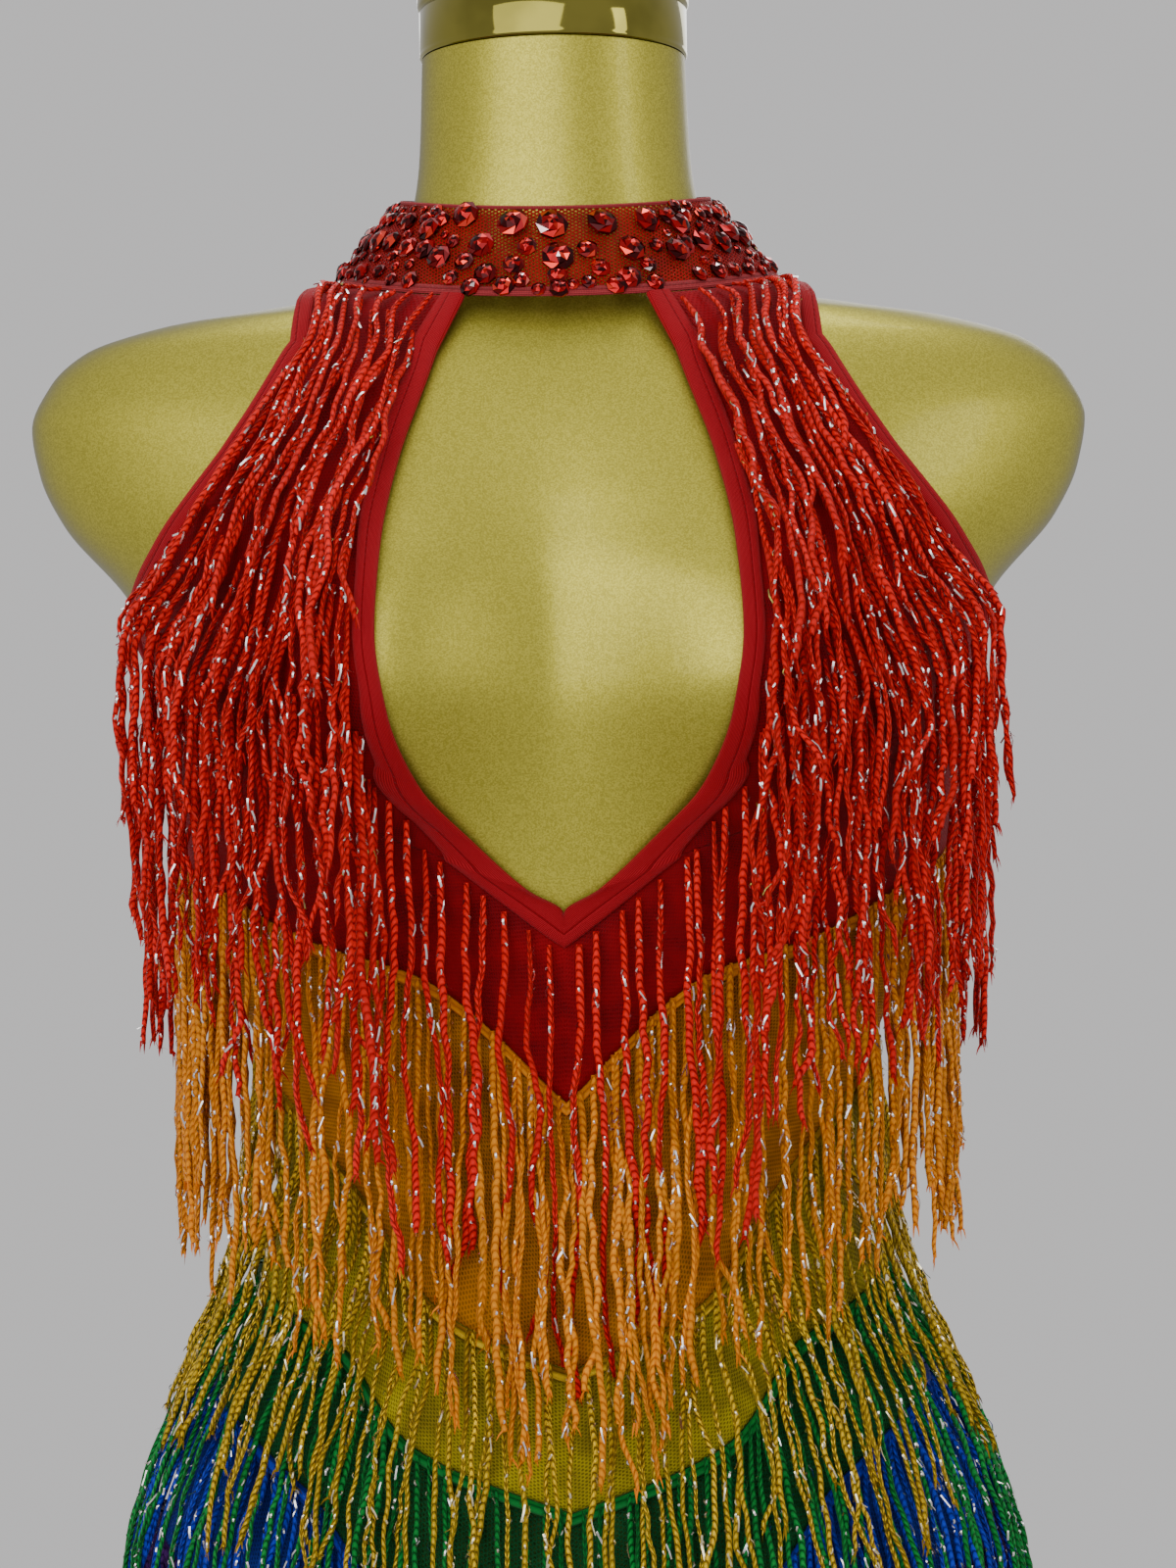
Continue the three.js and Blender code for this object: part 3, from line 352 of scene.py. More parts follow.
def seam_height(index: int, angle: Array) -> Array:
    """Height of a chevron seam round the trunk, dipping again to the back centre.

    Args:
        index: Number of the seam, from the top.
        angle: Angles in degrees.

    Returns:
        The heights.
    """
    away = np.abs((np.asarray(angle, float) + 180) % 360 - 180)
    front = MonotoneCurve(SEAM_ANGLES, SEAM_HEIGHTS[index])(away)
    lift = np.sin(np.clip((180 - away) / 90, 0, 1) * np.pi / 2) ** 1.3
    behind = lerp(SEAM_BACKS[index], SEAM_HEIGHTS[index][-1], lift)
    return np.where(away <= 90, front, behind)


def back_top(angle: Array) -> Array:
    """Height of the back's top edge at angles in degrees, lowest at the centre."""
    away = np.abs((np.asarray(angle, float) + 180) % 360 - 180)
    return lerp(BACK_TOP["centre"], BACK_TOP["side"], smooth((180 - away) / 90))


def collar_edge(cosine: Array, sine: Array, sizes: dict[str, float]) -> Array:
    """One edge of the collar: an egg in plan, whose height swings between front, side and back.

    Args:
        cosine: Cosines of the angles.
        sine: Their sines.
        sizes: Heights, half width and depths of the edge.

    Returns:
        The points.
    """
    middle = (sizes["front"] + sizes["back"]) / 2
    z = sizes["side"] + (middle - sizes["side"]) * cosine**2
    z = z + (sizes["front"] - sizes["back"]) / 2 * cosine
    depth = lerp(sizes["deep_back"], sizes["deep"], (1 + cosine) / 2)
    return np.stack([sizes["half"] * sine, -depth * cosine, z], -1)


def collar_point(angle: Array, rise: Array, out: Array | float) -> Array:
    """Points of the flared collar.

    Args:
        angle: Angles in degrees, 0 at the front.
        rise: 0 at the lower edge to 1 at the upper.
        out: How far the layer stands off the band's inner face.

    Returns:
        The points.
    """
    angle, rise = np.broadcast_arrays(np.asarray(angle, float), np.asarray(rise, float))
    cosine, sine = np.cos(np.radians(angle)), np.sin(np.radians(angle))
    lower, upper = (collar_edge(cosine, sine, sizes) for sizes in (COLLAR_LOWER, COLLAR_UPPER))
    around = np.stack([cosine, sine, np.zeros_like(cosine)], -1)
    normal = unit(np.cross(around, upper - lower))
    return lerp(lower, upper, rise[..., None]) + normal * np.asarray(out)[..., None]


def under_back_binding(angle: Array) -> Array:
    """Height just under the binding of the back's top edge."""
    return back_top(angle) - BINDING_WIDTH - 0.5


class Halter:
    """Net of courses and shares over one front half of the red top, at +X."""

    def __init__(self, trunk: Trunk) -> None:
        """Fit curves along the courses.

        Args:
            trunk: The surface that the cloth lies on.
        """
        self.trunk = trunk
        index = np.arange(len(COURSES))
        inner_x, inner_z, outer_x, outer_z = np.asarray(COURSES, float).T
        self.inner_x, self.inner_z, self.outer_z = (
            MonotoneCurve(index, values) for values in (inner_x, inner_z, outer_z)
        )
        angles = np.minimum(trunk.angle_at(outer_x, outer_z), 90 - SIDE_SEAM_GAP)
        self.outer_angle = MonotoneCurve(index, angles)
        fine = np.linspace(0, SHOULDER_COURSE, 97)
        self.borders = [MonotoneCurve(fine, self._border(fine, end)) for end in (0, 1)]

    def place(self, course: Array, share: Array) -> tuple[Array, Array]:
        """Angle and height at a share of the way across a course.

        Args:
            course: Courses, 0 at the chevron seam.
            share: 0 at the inner edge to 1 at the outer edge.

        Returns:
            Angles in degrees and heights.
        """
        course, share = np.broadcast_arrays(np.asarray(course, float), np.asarray(share, float))
        below = np.minimum(course, LAST_COURSE)
        inner_z = self.inner_z(below)
        inner = np.where(below <= APEX_COURSE, 0, self.trunk.angle_at(self.inner_x(below), inner_z))
        angle = lerp(inner, self.outer_angle(below), share)
        straight = lerp(inner_z, self.outer_z(below), share)
        seam_angle = share * self.outer_angle(0)
        straight_seam = lerp(SEAM_HEIGHTS[0][0], SEAM_HEIGHTS[0][-1], share)
        fade = np.clip(1 - below / (APEX_COURSE + 1), 0, 1)
        z = straight + (seam_height(0, seam_angle) - straight_seam) * fade
        shoulder = self._on_shoulder(angle, z, share, np.clip(course - LAST_COURSE, 0, 1))
        above = course > LAST_COURSE
        return np.where(above, shoulder[0], angle), np.where(above, shoulder[1], z)

    def _on_shoulder(self, angle: Array, z: Array, share: Array, t: Array) -> tuple[Array, Array]:
        """Places over the shoulder, straight in plan from the last course towards the collar.

        Args:
            angle: Angles at the last course, in degrees.
            z: Heights there.
            share: Shares across.
            t: 0 at the last course to 1 beside the collar's edge.

        Returns:
            Angles in degrees and heights.
        """
        above = lerp(COLLAR_JOIN["shoulder"], COLLAR_JOIN["outer"], share)
        edge = collar_point(above, 0 * share, 0 * share) * COLLAR_JOIN["spread"]
        turn = np.radians(angle)
        x = self.trunk.curves["half"](z) * np.sin(turn)
        y = -self.trunk.curves["front"](z) * np.cos(turn)
        return self.trunk.shoulder_place(lerp(x, edge[..., 0], t), lerp(y, edge[..., 1], t))

    def layer(self, course: Array, share: Array, side: int, out: Array | float) -> Array:
        """Points of a layer over the halter; above the shoulder course it rises to the collar.

        Args:
            course: Courses.
            share: Shares across.
            side: 1 at +X or -1 at -X.
            out: How far the layer stands off the trunk.

        Returns:
            The points.
        """
        course, share, out = np.broadcast_arrays(course, share, out)
        angle, z = self.place(course, share)
        return self.rise(TRUNK_SHAPE.layer(side * angle, z, out), course, share, side, out)

    def rise(self, points: Array, course: Array, share: Array, side: int, out: Array) -> Array:
        """Lift points above the shoulder course towards the collar's lower edge.

        Args:
            points: Points on the shoulder.
            course: Their courses.
            share: Their shares across.
            side: 1 at +X or -1 at -X.
            out: How far they stand off the trunk.

        Returns:
            The points.
        """
        t = np.clip(course - SHOULDER_COURSE, 0, 1)[..., None]
        sewn = side * lerp(COLLAR_JOIN["inner"], COLLAR_JOIN["outer"], share)
        edge = collar_point(sewn, 0 * share - COLLAR_JOIN["seam"], out - CLOTH_GAP)
        return lerp(points, edge, t)

    def length(self, course: Array) -> Array:
        """Length of courses over the trunk.

        Args:
            course: The courses.

        Returns:
            The lengths.
        """
        share = np.linspace(0, 1, 13)
        points = self.trunk.point(*self.place(np.asarray(course)[:, None], share[None, :]))
        return np.linalg.norm(np.diff(points, axis=1), axis=-1).sum(1)

    def _border(self, course: Array, end: int) -> Array:
        """Share of a course that a binding of even width takes at one end.

        Args:
            course: The courses.
            end: 0 for the inner edge or 1 for the outer edge.

        Returns:
            The shares.
        """
        step = 0.05
        here = self.trunk.point(*self.place(course, float(end)))
        inward = step if end == 0 else 1 - step
        across = unit(self.trunk.point(*self.place(course, inward)) - here)
        low = np.where((end == 0) & (course <= APEX_COURSE), course - step, course)
        after = self.trunk.point(*self.place(low + step, float(end)))
        before = self.trunk.point(*self.place(np.maximum(low - step, 0), float(end)))
        slant = np.linalg.norm(np.cross(across, unit(after - before)), axis=-1)
        return BINDING_WIDTH / (self.length(course) * np.maximum(slant, 0.3))


HALTER = Halter(TRUNK_SHAPE)


# ---- meshes
@dataclass
class Patch:
    """Points, faces and per-corner coordinates of one stretch of mesh, before it is an object."""

    points: Array
    faces: Array
    uv: Array
    material: int = 0
    tone: Array | None = None


def grid_faces(rows: int, columns: int, closed: bool = False) -> Array:
    """Quads of a grid of points that are stored row by row.

    Args:
        rows: Points along the first parameter.
        columns: Points along the second parameter.
        closed: Whether the last column joins the first.

    Returns:
        Corner indices, four to a row.
    """
    i, j = np.meshgrid(np.arange(rows - 1), np.arange(columns - (not closed)), indexing="ij")
    after = (j + 1) % columns
    corners = [i * columns + j, i * columns + after, (i + 1) * columns + after]
    return np.stack([*corners, (i + 1) * columns + j], -1).reshape(-1, 4)


def copied_faces(faces: Array, copies: int, points: int) -> Array:
    """Faces of many shapes of one kind, each with the same number of points."""
    all_faces = faces[None] + (np.arange(copies) * points)[:, None, None]
    return all_faces.reshape(-1, faces.shape[1])


def run_along(points: Array, axis: int = 0) -> Array:
    """Distance of every point from the first, along the lines that follow an axis."""
    steps = np.linalg.norm(np.diff(points, axis=axis), axis=-1)
    return np.insert(steps.cumsum(axis), 0, 0.0, axis=axis)


def surface_patch(points: Array, uv: Array, material: int = 0) -> Patch:
    """A patch from grids of points and of coordinates, both with shape (rows, columns, ...)."""
    faces = grid_faces(*points.shape[:2])
    return Patch(points.reshape(-1, 3), faces, uv.reshape(-1, 2)[faces], material)


def length_uv(points: Array) -> Array:
    """Coordinates in metres along both directions of a grid of points in millimetres.

    Args:
        points: Points with shape (rows, columns, 3).

    Returns:
        Coordinates with shape (rows, columns, 2): across from the middle column, then up.
    """
    across = run_along(points, 1)
    across = across - across[:, across.shape[1] // 2][:, None]
    up = np.linalg.norm(np.diff(points, axis=0), axis=-1).mean(1)
    up = np.concatenate([[0.0], up.cumsum()])[:, None] + np.zeros_like(across)
    return np.stack([across, up], -1) * MILLIMETRE


def make_object(
    name: str, patches: Sequence[Patch], *finishes: "Finish", shaded: bool = True
) -> Piece:
    """One mesh object from patches, at the origin, in metres.

    Args:
        name: Name of the object and of its mesh.
        patches: The stretches of mesh, in millimetres.
        *finishes: The finish of each material slot.
        shaded: Whether the faces are shaded smooth.

    Returns:
        The linked object.
    """
    starts = np.cumsum([0] + [len(patch.points) for patch in patches])
    points = np.concatenate([patch.points for patch in patches]) * MILLIMETRE
    points[:, 1] += SHIFT_Y
    corners = np.concatenate([(p.faces + s).ravel() for p, s in zip(patches, starts)])
    sizes = np.concatenate([np.full(len(p.faces), p.faces.shape[1]) for p in patches])
    mesh = bpy.data.meshes.new(name)
    mesh.vertices.add(len(points))
    mesh.vertices.foreach_set("co", points.astype(np.float32).ravel())
    mesh.loops.add(len(corners))
    mesh.loops.foreach_set("vertex_index", corners.astype(np.int32))
    mesh.polygons.add(len(sizes))
    first = np.concatenate([[0], sizes.cumsum()[:-1]]).astype(np.int32)
    mesh.polygons.foreach_set("loop_start", first)
    mesh.polygons.foreach_set("loop_total", sizes.astype(np.int32))
    slots = np.concatenate([np.full(len(p.faces), p.material) for p in patches])
    for finish in finishes:
        mesh.materials.append(finish.material())
    mesh.polygons.foreach_set("material_index", slots.astype(np.int32))
    mesh.polygons.foreach_set("use_smooth", np.full(len(sizes), shaded))
    mesh.update(calc_edges=True)
    layer = mesh.uv_layers.new(name="cloth")
    uv = np.concatenate([patch.uv.reshape(-1, 2) for patch in patches])
    layer.data.foreach_set("uv", uv.astype(np.float32).ravel())
    if any(patch.tone is not None for patch in patches):
        tones = [p.tone if p.tone is not None else np.full(len(p.points), 0.5) for p in patches]
        tone = mesh.attributes.new("tone", "FLOAT", "POINT")
        tone.data.foreach_set("value", np.concatenate(tones).astype(np.float32))
    mesh.validate()
    made = bpy.data.objects.new(name, mesh)
    bpy.context.scene.collection.objects.link(made)
    return made


def thicken(piece: Piece, thickness: float) -> None:
    """Give a sheet its thickness in millimetres, half of it on either side."""
    modifier = piece.modifiers.new("thickness", "SOLIDIFY")
    modifier.thickness, modifier.offset = thickness * MILLIMETRE, 0.0


def install(piece: Piece, slot: str, *replaced: str) -> Piece:
    """Ride on the body, stand for CAD nodes and be noted by name.

    Args:
        piece: The finished piece.
        slot: Slot of its finish; not used.
        *replaced: CAD nodes that it stands for.

    Returns:
        The piece.
    """
    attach(piece, "root")
    if replaced:
        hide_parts(*replaced)
    LOG.info("%s: %d faces, for %s", piece.name, len(piece.data.polygons), replaced or "dressing")
    return piece


# ---- shader building
Colour = tuple[float, float, float]
Node = bpy.types.Node
Socket = bpy.types.NodeSocket
Given = Socket | float | Sequence[float]


class Graph:
    """Short calls for making and linking the nodes of one tree."""

    def __init__(self, tree: bpy.types.NodeTree) -> None:
        """Wrap the node tree of a material or a group."""
        self.tree = tree

    def feed(self, node: Node, inputs: dict[str | int, Given]) -> Node:
        """Link sockets to inputs of a node, or set their values.

        Args:
            node: The node.
            inputs: A socket or a value for each input, by its name or number.

        Returns:
            The node.
        """
        for key, source in inputs.items():
            if isinstance(source, Socket):
                self.tree.links.new(source, node.inputs[key])
            else:
                node.inputs[key].default_value = source
        return node

    def node(self, kind: str, inputs: dict[str | int, Given] | None = None, **settings: object) -> Node:
        """A new node.

        Args:
            kind: Blender's node type, without the word that shader nodes begin with.
            inputs: What its inputs get.
            **settings: Properties to set on it.

        Returns:
            The node.
        """
        made = self.tree.nodes.new(f"ShaderNode{kind}")
        for key, value in settings.items():
            setattr(made, key, value)
        return self.feed(made, inputs or {})

    def math(self, operation: str, *inputs: Socket | float, clamp: bool = False) -> Socket:
        """Result of a Math node, held between 0 and 1 where clamp is set."""
        return self.node("Math", dict(enumerate(inputs)), operation=operation, use_clamp=clamp).outputs[0]

    def swing(self, phase: Socket) -> Socket:
        """Size of the sine of a phase in radians."""
        return self.math("ABSOLUTE", self.math("SINE", phase))

    def mix(self, share: Socket | float, a: Socket | Colour, b: Socket | Colour) -> Socket:
        """Blend of colours from a, at share 0, to b, at share 1."""
        a, b = (end if isinstance(end, Socket) else (*end, 1.0) for end in (a, b))
        return self.node("Mix", {0: share, 6: a, 7: b}, data_type="RGBA").outputs[2]

    def ramp(self, value: Socket, low: float, high: float) -> Socket:
        """Smooth share, from 0 to 1, of a value's way from low to high."""
        inputs = {"Value": value, "From Min": low, "From Max": high}
        return self.node("MapRange", inputs, interpolation_type="SMOOTHSTEP").outputs["Result"]

    def noise(self, scale: float, detail: float = 2.0, vector: Socket | None = None) -> Socket:
        """Noise about 0.5, on the object coordinates in metres if no vector is given."""
        inputs = {"Vector": vector or self.places(), "Scale": scale, "Detail": detail}
        return self.node("TexNoise", inputs).outputs["Fac"]

    def bump(self, height: Socket, distance: float, strength: float) -> Socket:
        """Normals of a height, for a bump distance in metres and a strength."""
        inputs = {"Height": height, "Distance": distance, "Strength": strength}
        return self.node("Bump", inputs).outputs["Normal"]

    def group(self, key: str, vector: Socket, **values: float) -> bpy.types.NodeOutputs:
        """Outputs of a shared group that is put in the material with its own values."""
        return self.node("Group", {"Vector": vector, **values}, node_tree=GROUPS[key]).outputs

    def split(self, vector: Socket) -> tuple[Socket, Socket]:
        """First two parts of a vector."""
        return tuple(self.node("SeparateXYZ", {0: vector}).outputs)[:2]

    def places(self) -> Socket:
        """Object coordinates, in metres."""
        return self.node("TexCoord").outputs["Object"]

    def cloth(self) -> Socket:
        """The piece's own coordinates."""
        return self.node("UVMap", uv_map="cloth").outputs[0]


GroupEnds = tuple[Graph, bpy.types.NodeOutputs, Node]


def new_group(name: str, numbers: Sequence[str], outputs: Sequence[str]) -> GroupEnds:
    """A node group with a vector and named numbers in, and named numbers out.

    Args:
        name: The group's name.
        numbers: Names of its number inputs.
        outputs: Names of its outputs.

    Returns:
        Its graph, the sockets that come in and the node that they leave by.
    """
    tree = bpy.data.node_groups.new(name, "ShaderNodeTree")
    tree.interface.new_socket("Vector", in_out="INPUT", socket_type="NodeSocketVector")
    for way, labels in (("INPUT", numbers), ("OUTPUT", outputs)):
        for label in labels:
            tree.interface.new_socket(label, in_out=way, socket_type="NodeSocketFloat")
    return Graph(tree), tree.nodes.new("NodeGroupInput").outputs, tree.nodes.new("NodeGroupOutput")


def net_group() -> bpy.types.NodeTree:
    """Round holes at the points of a triangular lattice.

    The sum of three cosine waves at 60 degrees to each other peaks at each hole's centre.

    Returns:
        The group: Vector and Pitch in, Hole and Height out.
    """
    graph, given, leave = new_group("Stretch net", ["Pitch"], ["Hole", "Height"])
    turns = graph.math("DIVIDE", 2 * math.pi, given["Pitch"])
    x, y = (graph.math("MULTIPLY", part, turns) for part in graph.split(given["Vector"]))
    half_x = graph.math("MULTIPLY", x, 0.5)
    tall_y = graph.math("MULTIPLY", y, 0.866)
    slants = [graph.math(way, tall_y, half_x) for way in ("ADD", "SUBTRACT")]
    level, rising, falling = (graph.math("COSINE", wave) for wave in (x, *slants))
    total = graph.math("ADD", graph.math("ADD", level, rising), falling)
    hole = graph.ramp(total, -0.6, 0.9)
    graph.feed(leave, {"Hole": hole, "Height": graph.math("MULTIPLY", total, -0.3)})
    return graph.tree


def chain_group() -> bpy.types.NodeTree:
    """Chain stitches of a chainette strand: V shapes that follow each other along it.

    Around the strand the sine's size leads each stitch, so its two plies slant away from the
    middle line. A stitch is high in the middle of its period.

    Returns:
        The group: Vector (turns round, metres along) and Period in, Stitch and Height out.
    """
    graph, given, leave = new_group("Chain stitch", ["Period"], ["Stitch", "Height"])
    turns, run = graph.split(given["Vector"])
    split = graph.swing(graph.math("MULTIPLY", turns, 2 * math.pi))
    along = graph.math("DIVIDE", run, given["Period"])
    led = graph.math("ADD", along, graph.math("MULTIPLY", split, 0.9))
    phase = graph.math("MULTIPLY", led, math.pi)
    height = graph.math("MULTIPLY", graph.swing(phase), graph.ramp(split, 0.0, 0.3))
    fibre = graph.math("MULTIPLY", graph.swing(graph.math("MULTIPLY", phase, 5.0)), 0.12)
    # Stitch share rises with the stitch's height; the strand finish paints shade where it is low.
    stitch = graph.ramp(height, 0.12, 0.8)
    graph.feed(leave, {"Stitch": stitch, "Height": graph.math("ADD", height, fibre)})
    return graph.tree


def rib_group() -> bpy.types.NodeTree:
    """Fine ribs along a binding, with a line of stitches near one edge.

    Returns:
        The group: Vector (metres along, metres across) and Line in, Shade and Height out.
    """
    graph, given, leave = new_group("Ribbed binding", ["Line"], ["Shade", "Height"])
    along, across = graph.split(given["Vector"])
    ribs, picks, beat = (
        graph.math("SINE", graph.math("MULTIPLY", way, 2 * math.pi / period))
        for way, period in ((across, 0.00075), (along, 0.0006), (along, 0.0026))
    )
    weave = graph.math("ADD", graph.math("MULTIPLY", ribs, 0.5), graph.math("MULTIPLY", picks, 0.3))
    off_line = graph.math("ABSOLUTE", graph.math("SUBTRACT", across, given["Line"]))
    near, wider = (
        graph.math("SUBTRACT", 1.0, graph.ramp(off_line, *ends))
        for ends in ((0.00025, 0.0006), (0.0004, 0.0013))
    )
    stitch = graph.math("MULTIPLY", near, graph.ramp(beat, -0.5, 0.1))
    raised = graph.math("ADD", weave, graph.math("MULTIPLY", stitch, 1.5))
    graph.feed(leave, {
        "Height": graph.math("SUBTRACT", raised, graph.math("MULTIPLY", wider, 1.6)),
        "Shade": graph.math("SUBTRACT", weave, graph.math("MULTIPLY", near, 0.8)),
    })
    return graph.tree


def flake_group() -> bpy.types.NodeTree:
    """Metal flakes in lacquer: random values of small cells over a slow cloud.

    Returns:
        The group: Vector in, Flake, Cloud and Height out.
    """
    graph, given, leave = new_group("Metal flake", [], ["Flake", "Cloud", "Height"])
    cells = graph.node("TexVoronoi", {"Vector": given["Vector"], "Scale": 2200.0}, feature="F1")
    flake, height, _ = graph.node("SeparateColor", {0: cells.outputs["Color"]}).outputs
    cloud = graph.noise(9.0, vector=given["Vector"])
    graph.feed(leave, {"Flake": flake, "Cloud": cloud, "Height": height})
    return graph.tree


GROUPS = {"net": net_group(), "chain": chain_group(), "rib": rib_group(), "flake": flake_group()}


@dataclass(frozen=True)
class Finish:
    """A named finish, whose material each kind of finish describes."""

    name: str

    def inputs(self, graph: Graph) -> dict[str, Given]:
        """What the Principled shader gets.

        Args:
            graph: Graph of the material.

        Returns:
            A socket or a value for each named input.
        """
        raise NotImplementedError

    def material(self) -> bpy.types.Material:
        """The finish's material, built once however many pieces wear it.

        Returns:
            The material.
        """
        if self.name not in MATERIALS:
            made = bpy.data.materials.new(self.name)
            made.use_nodes = True
            graph = Graph(made.node_tree)
            graph.feed(made.node_tree.nodes["Principled BSDF"], self.inputs(graph))
            MATERIALS[self.name] = made
        return MATERIALS[self.name]


MATERIALS: dict[str, bpy.types.Material] = {}


def tinted(colour: Colour, share: float) -> Colour:
    """A colour made darker to a share of itself."""
    return tuple(share * part for part in colour)


@dataclass(frozen=True)
class NetFinish(Finish):
    """Sheer stretch mesh: coloured yarn round holes, doubled where the cloth is lined.

    Attributes:
        yarn: Colour of the yarn.
        shade: Darker tone of the yarn, laid by a slow cloud of noise.
        cover: How much of the light a hole still stops.
        pitch: Distance between holes, in metres.
    """

    yarn: Colour
    shade: Colour
    cover: float
    pitch: float = 0.00125

    def inputs(self, graph: Graph) -> dict[str, Given]:
        """Two tones of yarn under an alpha that drops in each hole.

        Args:
            graph: Graph of the material.

        Returns:
            The shader's inputs.
        """
        net = graph.group("net", graph.cloth(), Pitch=self.pitch)
        cloud = graph.noise(60.0, 3.0)
        open_share = graph.math("MULTIPLY", net["Hole"], 1 - self.cover)
        return {
            "Base Color": graph.mix(graph.ramp(cloud, 0.3, 0.7), self.shade, self.yarn),
            "Alpha": graph.math("SUBTRACT", 1.0, open_share, clamp=True),
            "Roughness": graph.math("MULTIPLY_ADD", cloud, 0.2, 0.5),
            "Sheen Weight": 0.04,
            "Sheen Roughness": 0.4,
            "Specular IOR Level": 0.08,
            "Normal": graph.bump(net["Height"], 0.0003, 0.5),
        }


@dataclass(frozen=True)
class BindingFinish(Finish):
    """Ribbed elastic binding, with a stitch line that runs some metres from its first edge."""

    colour: Colour
    line: float = 0.0062

    def inputs(self, graph: Graph) -> dict[str, Given]:
        """Painted light on the ribs' crests and painted shade in their valleys and along the sunk stitch
        line.

        Args:
            graph: Graph of the material.

        Returns:
            The shader's inputs.
        """
        rib = graph.group("rib", graph.cloth(), Line=self.line)
        # Painted light: the crests' lighter colour; painted shade: the darker colour in valleys and on the
        # stitch line.
        light = tuple(min(1.0, 1.25 * part + 0.01) for part in self.colour)
        shade = graph.ramp(rib["Shade"], -0.9, 0.7)
        return {
            "Base Color": graph.mix(shade, tinted(self.colour, 0.55), light),
            "Roughness": graph.math("MULTIPLY_ADD", graph.noise(140.0), 0.2, 0.5),
            "Sheen Weight": 0.05,
            "Sheen Roughness": 0.35,
            "Specular IOR Level": 0.08,
            "Normal": graph.bump(rib["Height"], 0.00022, 0.8),
        }


@dataclass(frozen=True)
class StrandFinish(Finish):
    """Chainette yarn: stitches in the yarn's colour with painted shade in the hollows between them, each
    strand with a tone of its own.
    """

    light: Colour
    dark: Colour
    metallic: float = 0.0
    roughness: float = 0.5

    def inputs(self, graph: Graph) -> dict[str, Given]:
        """The stitches' colours, darker and rougher where the strand's tone is low.

        Args:
            graph: Graph of the material.

        Returns:
            The shader's inputs.
        """
        chain = graph.group("chain", graph.cloth(), Period=0.0029)
        # Painted shade: the dark colour fills the low hollows between the stitches.
        stitch = graph.mix(chain["Stitch"], self.dark, self.light)
        tone = graph.node("Attribute", attribute_name="tone").outputs["Fac"]
        return {
            "Base Color": graph.mix(tone, tinted(self.light, 0.5), stitch),
            "Roughness": graph.math("MULTIPLY_ADD", tone, -0.1, self.roughness),
            "Metallic": self.metallic,
            "Sheen Weight": 0.03,
            "Sheen Roughness": 0.4,
            "Specular IOR Level": 0.14,
            "Normal": graph.bump(chain["Height"], 0.0007, 0.9),
        }


@dataclass(frozen=True)
class MetalFinish(Finish):
    """Plain bright metal, whose gloss a noise of some scale wears: flecks, hooks, neck cap."""

    colour: Colour
    roughness: float
    scale: float

    def inputs(self, graph: Graph) -> dict[str, Given]:
        """Metal that a slow noise darkens and dulls.

        Args:
            graph: Graph of the material.

        Returns:
            The shader's inputs.
        """
        wear = graph.noise(self.scale, 3.0)
        return {
            "Base Color": graph.mix(graph.ramp(wear, 0.35, 0.6), tinted(self.colour, 0.72), self.colour),
            "Roughness": graph.math("MULTIPLY_ADD", wear, 0.12, self.roughness - 0.05),
            "Metallic": 1.0,
        }


@dataclass(frozen=True)
class FlakeFinish(Finish):
    """Gold lacquer with light and dark metal flakes under a clear coat."""

    light: Colour
    dark: Colour

    def inputs(self, graph: Graph) -> dict[str, Given]:
        """Flakes from dull to bright, darker where the surface turns away from the view: partly the
        lacquer's own flop, partly painted shade.

        Args:
            graph: Graph of the material.

        Returns:
            The shader's inputs.
        """
        flake = graph.group("flake", graph.places())
        facing = graph.node("LayerWeight", {"Blend": 0.4}).outputs["Facing"]
        colour = graph.mix(graph.ramp(flake["Flake"], 0.05, 1.0), self.dark, self.light)
        return {
            # Painted shade towards grazing edges, partly the lacquer's own flop.
            "Base Color": graph.mix(graph.ramp(facing, 0.3, 1.0), colour, tinted(self.dark, 0.3)),
            "Metallic": graph.math("MULTIPLY_ADD", flake["Flake"], 0.08, 0.9),
            "Roughness": graph.math("MULTIPLY_ADD", flake["Cloud"], 0.05, 0.4),
            "Coat Weight": 0.12,
            "Coat Roughness": 0.08,
            "Normal": graph.bump(flake["Height"], 0.00012, 0.3),
        }


@dataclass(frozen=True)
class CrystalFinish(Finish):
    """Foil-backed red crystal with painted light on its facets: painted shade, red, painted glints and a
    few painted white flashes.
    """

    dark: Colour
    colour: Colour
    painted_glint: Colour
    painted_flash: Colour

    def inputs(self, graph: Graph) -> dict[str, Given]:
        """Four colours that follow each other as a facet's random value rises: painted shade, red, painted
        glint and painted flash.

        Args:
            graph: Graph of the material.

        Returns:
            The shader's inputs.
        """
        # Painted light: each facet's random value picks painted shade, the stone's red, a painted glint or
        # a painted white flash.
        facet = graph.split(graph.cloth())[0]
        body = graph.mix(graph.ramp(facet, 0.2, 0.8), self.dark, self.colour)
        body = graph.mix(graph.ramp(facet, 0.84, 0.92), body, self.painted_glint)
        return {
            "Base Color": graph.mix(graph.ramp(facet, 0.975, 0.985), body, self.painted_flash),
            "Roughness": graph.math("MULTIPLY_ADD", graph.noise(300.0), 0.06, 0.04),
            "Metallic": 0.9,
            "IOR": 1.65,
            "Coat Weight": 0.08,
            "Coat Roughness": 0.02,
        }


@dataclass(frozen=True)
class FloorFinish(Finish):
    """Pale matt floor with a slow cloud in its tone."""

    def inputs(self, graph: Graph) -> dict[str, Given]:
        """Two greys in a slow cloud.

        Args:
            graph: Graph of the material.

        Returns:
            The shader's inputs.
        """
        return {
            "Base Color": graph.mix(graph.noise(4.0), (0.44, 0.43, 0.43), (0.5, 0.49, 0.49)),
            "Roughness": 0.75,
        }


class Hue(Enum):
    """Colours of the chevrons and their fringe."""

    RED = "red"
    ORANGE = "orange"
    GOLD = "gold"
    GREEN = "green"
    BLUE = "blue"
    PURPLE = "purple"


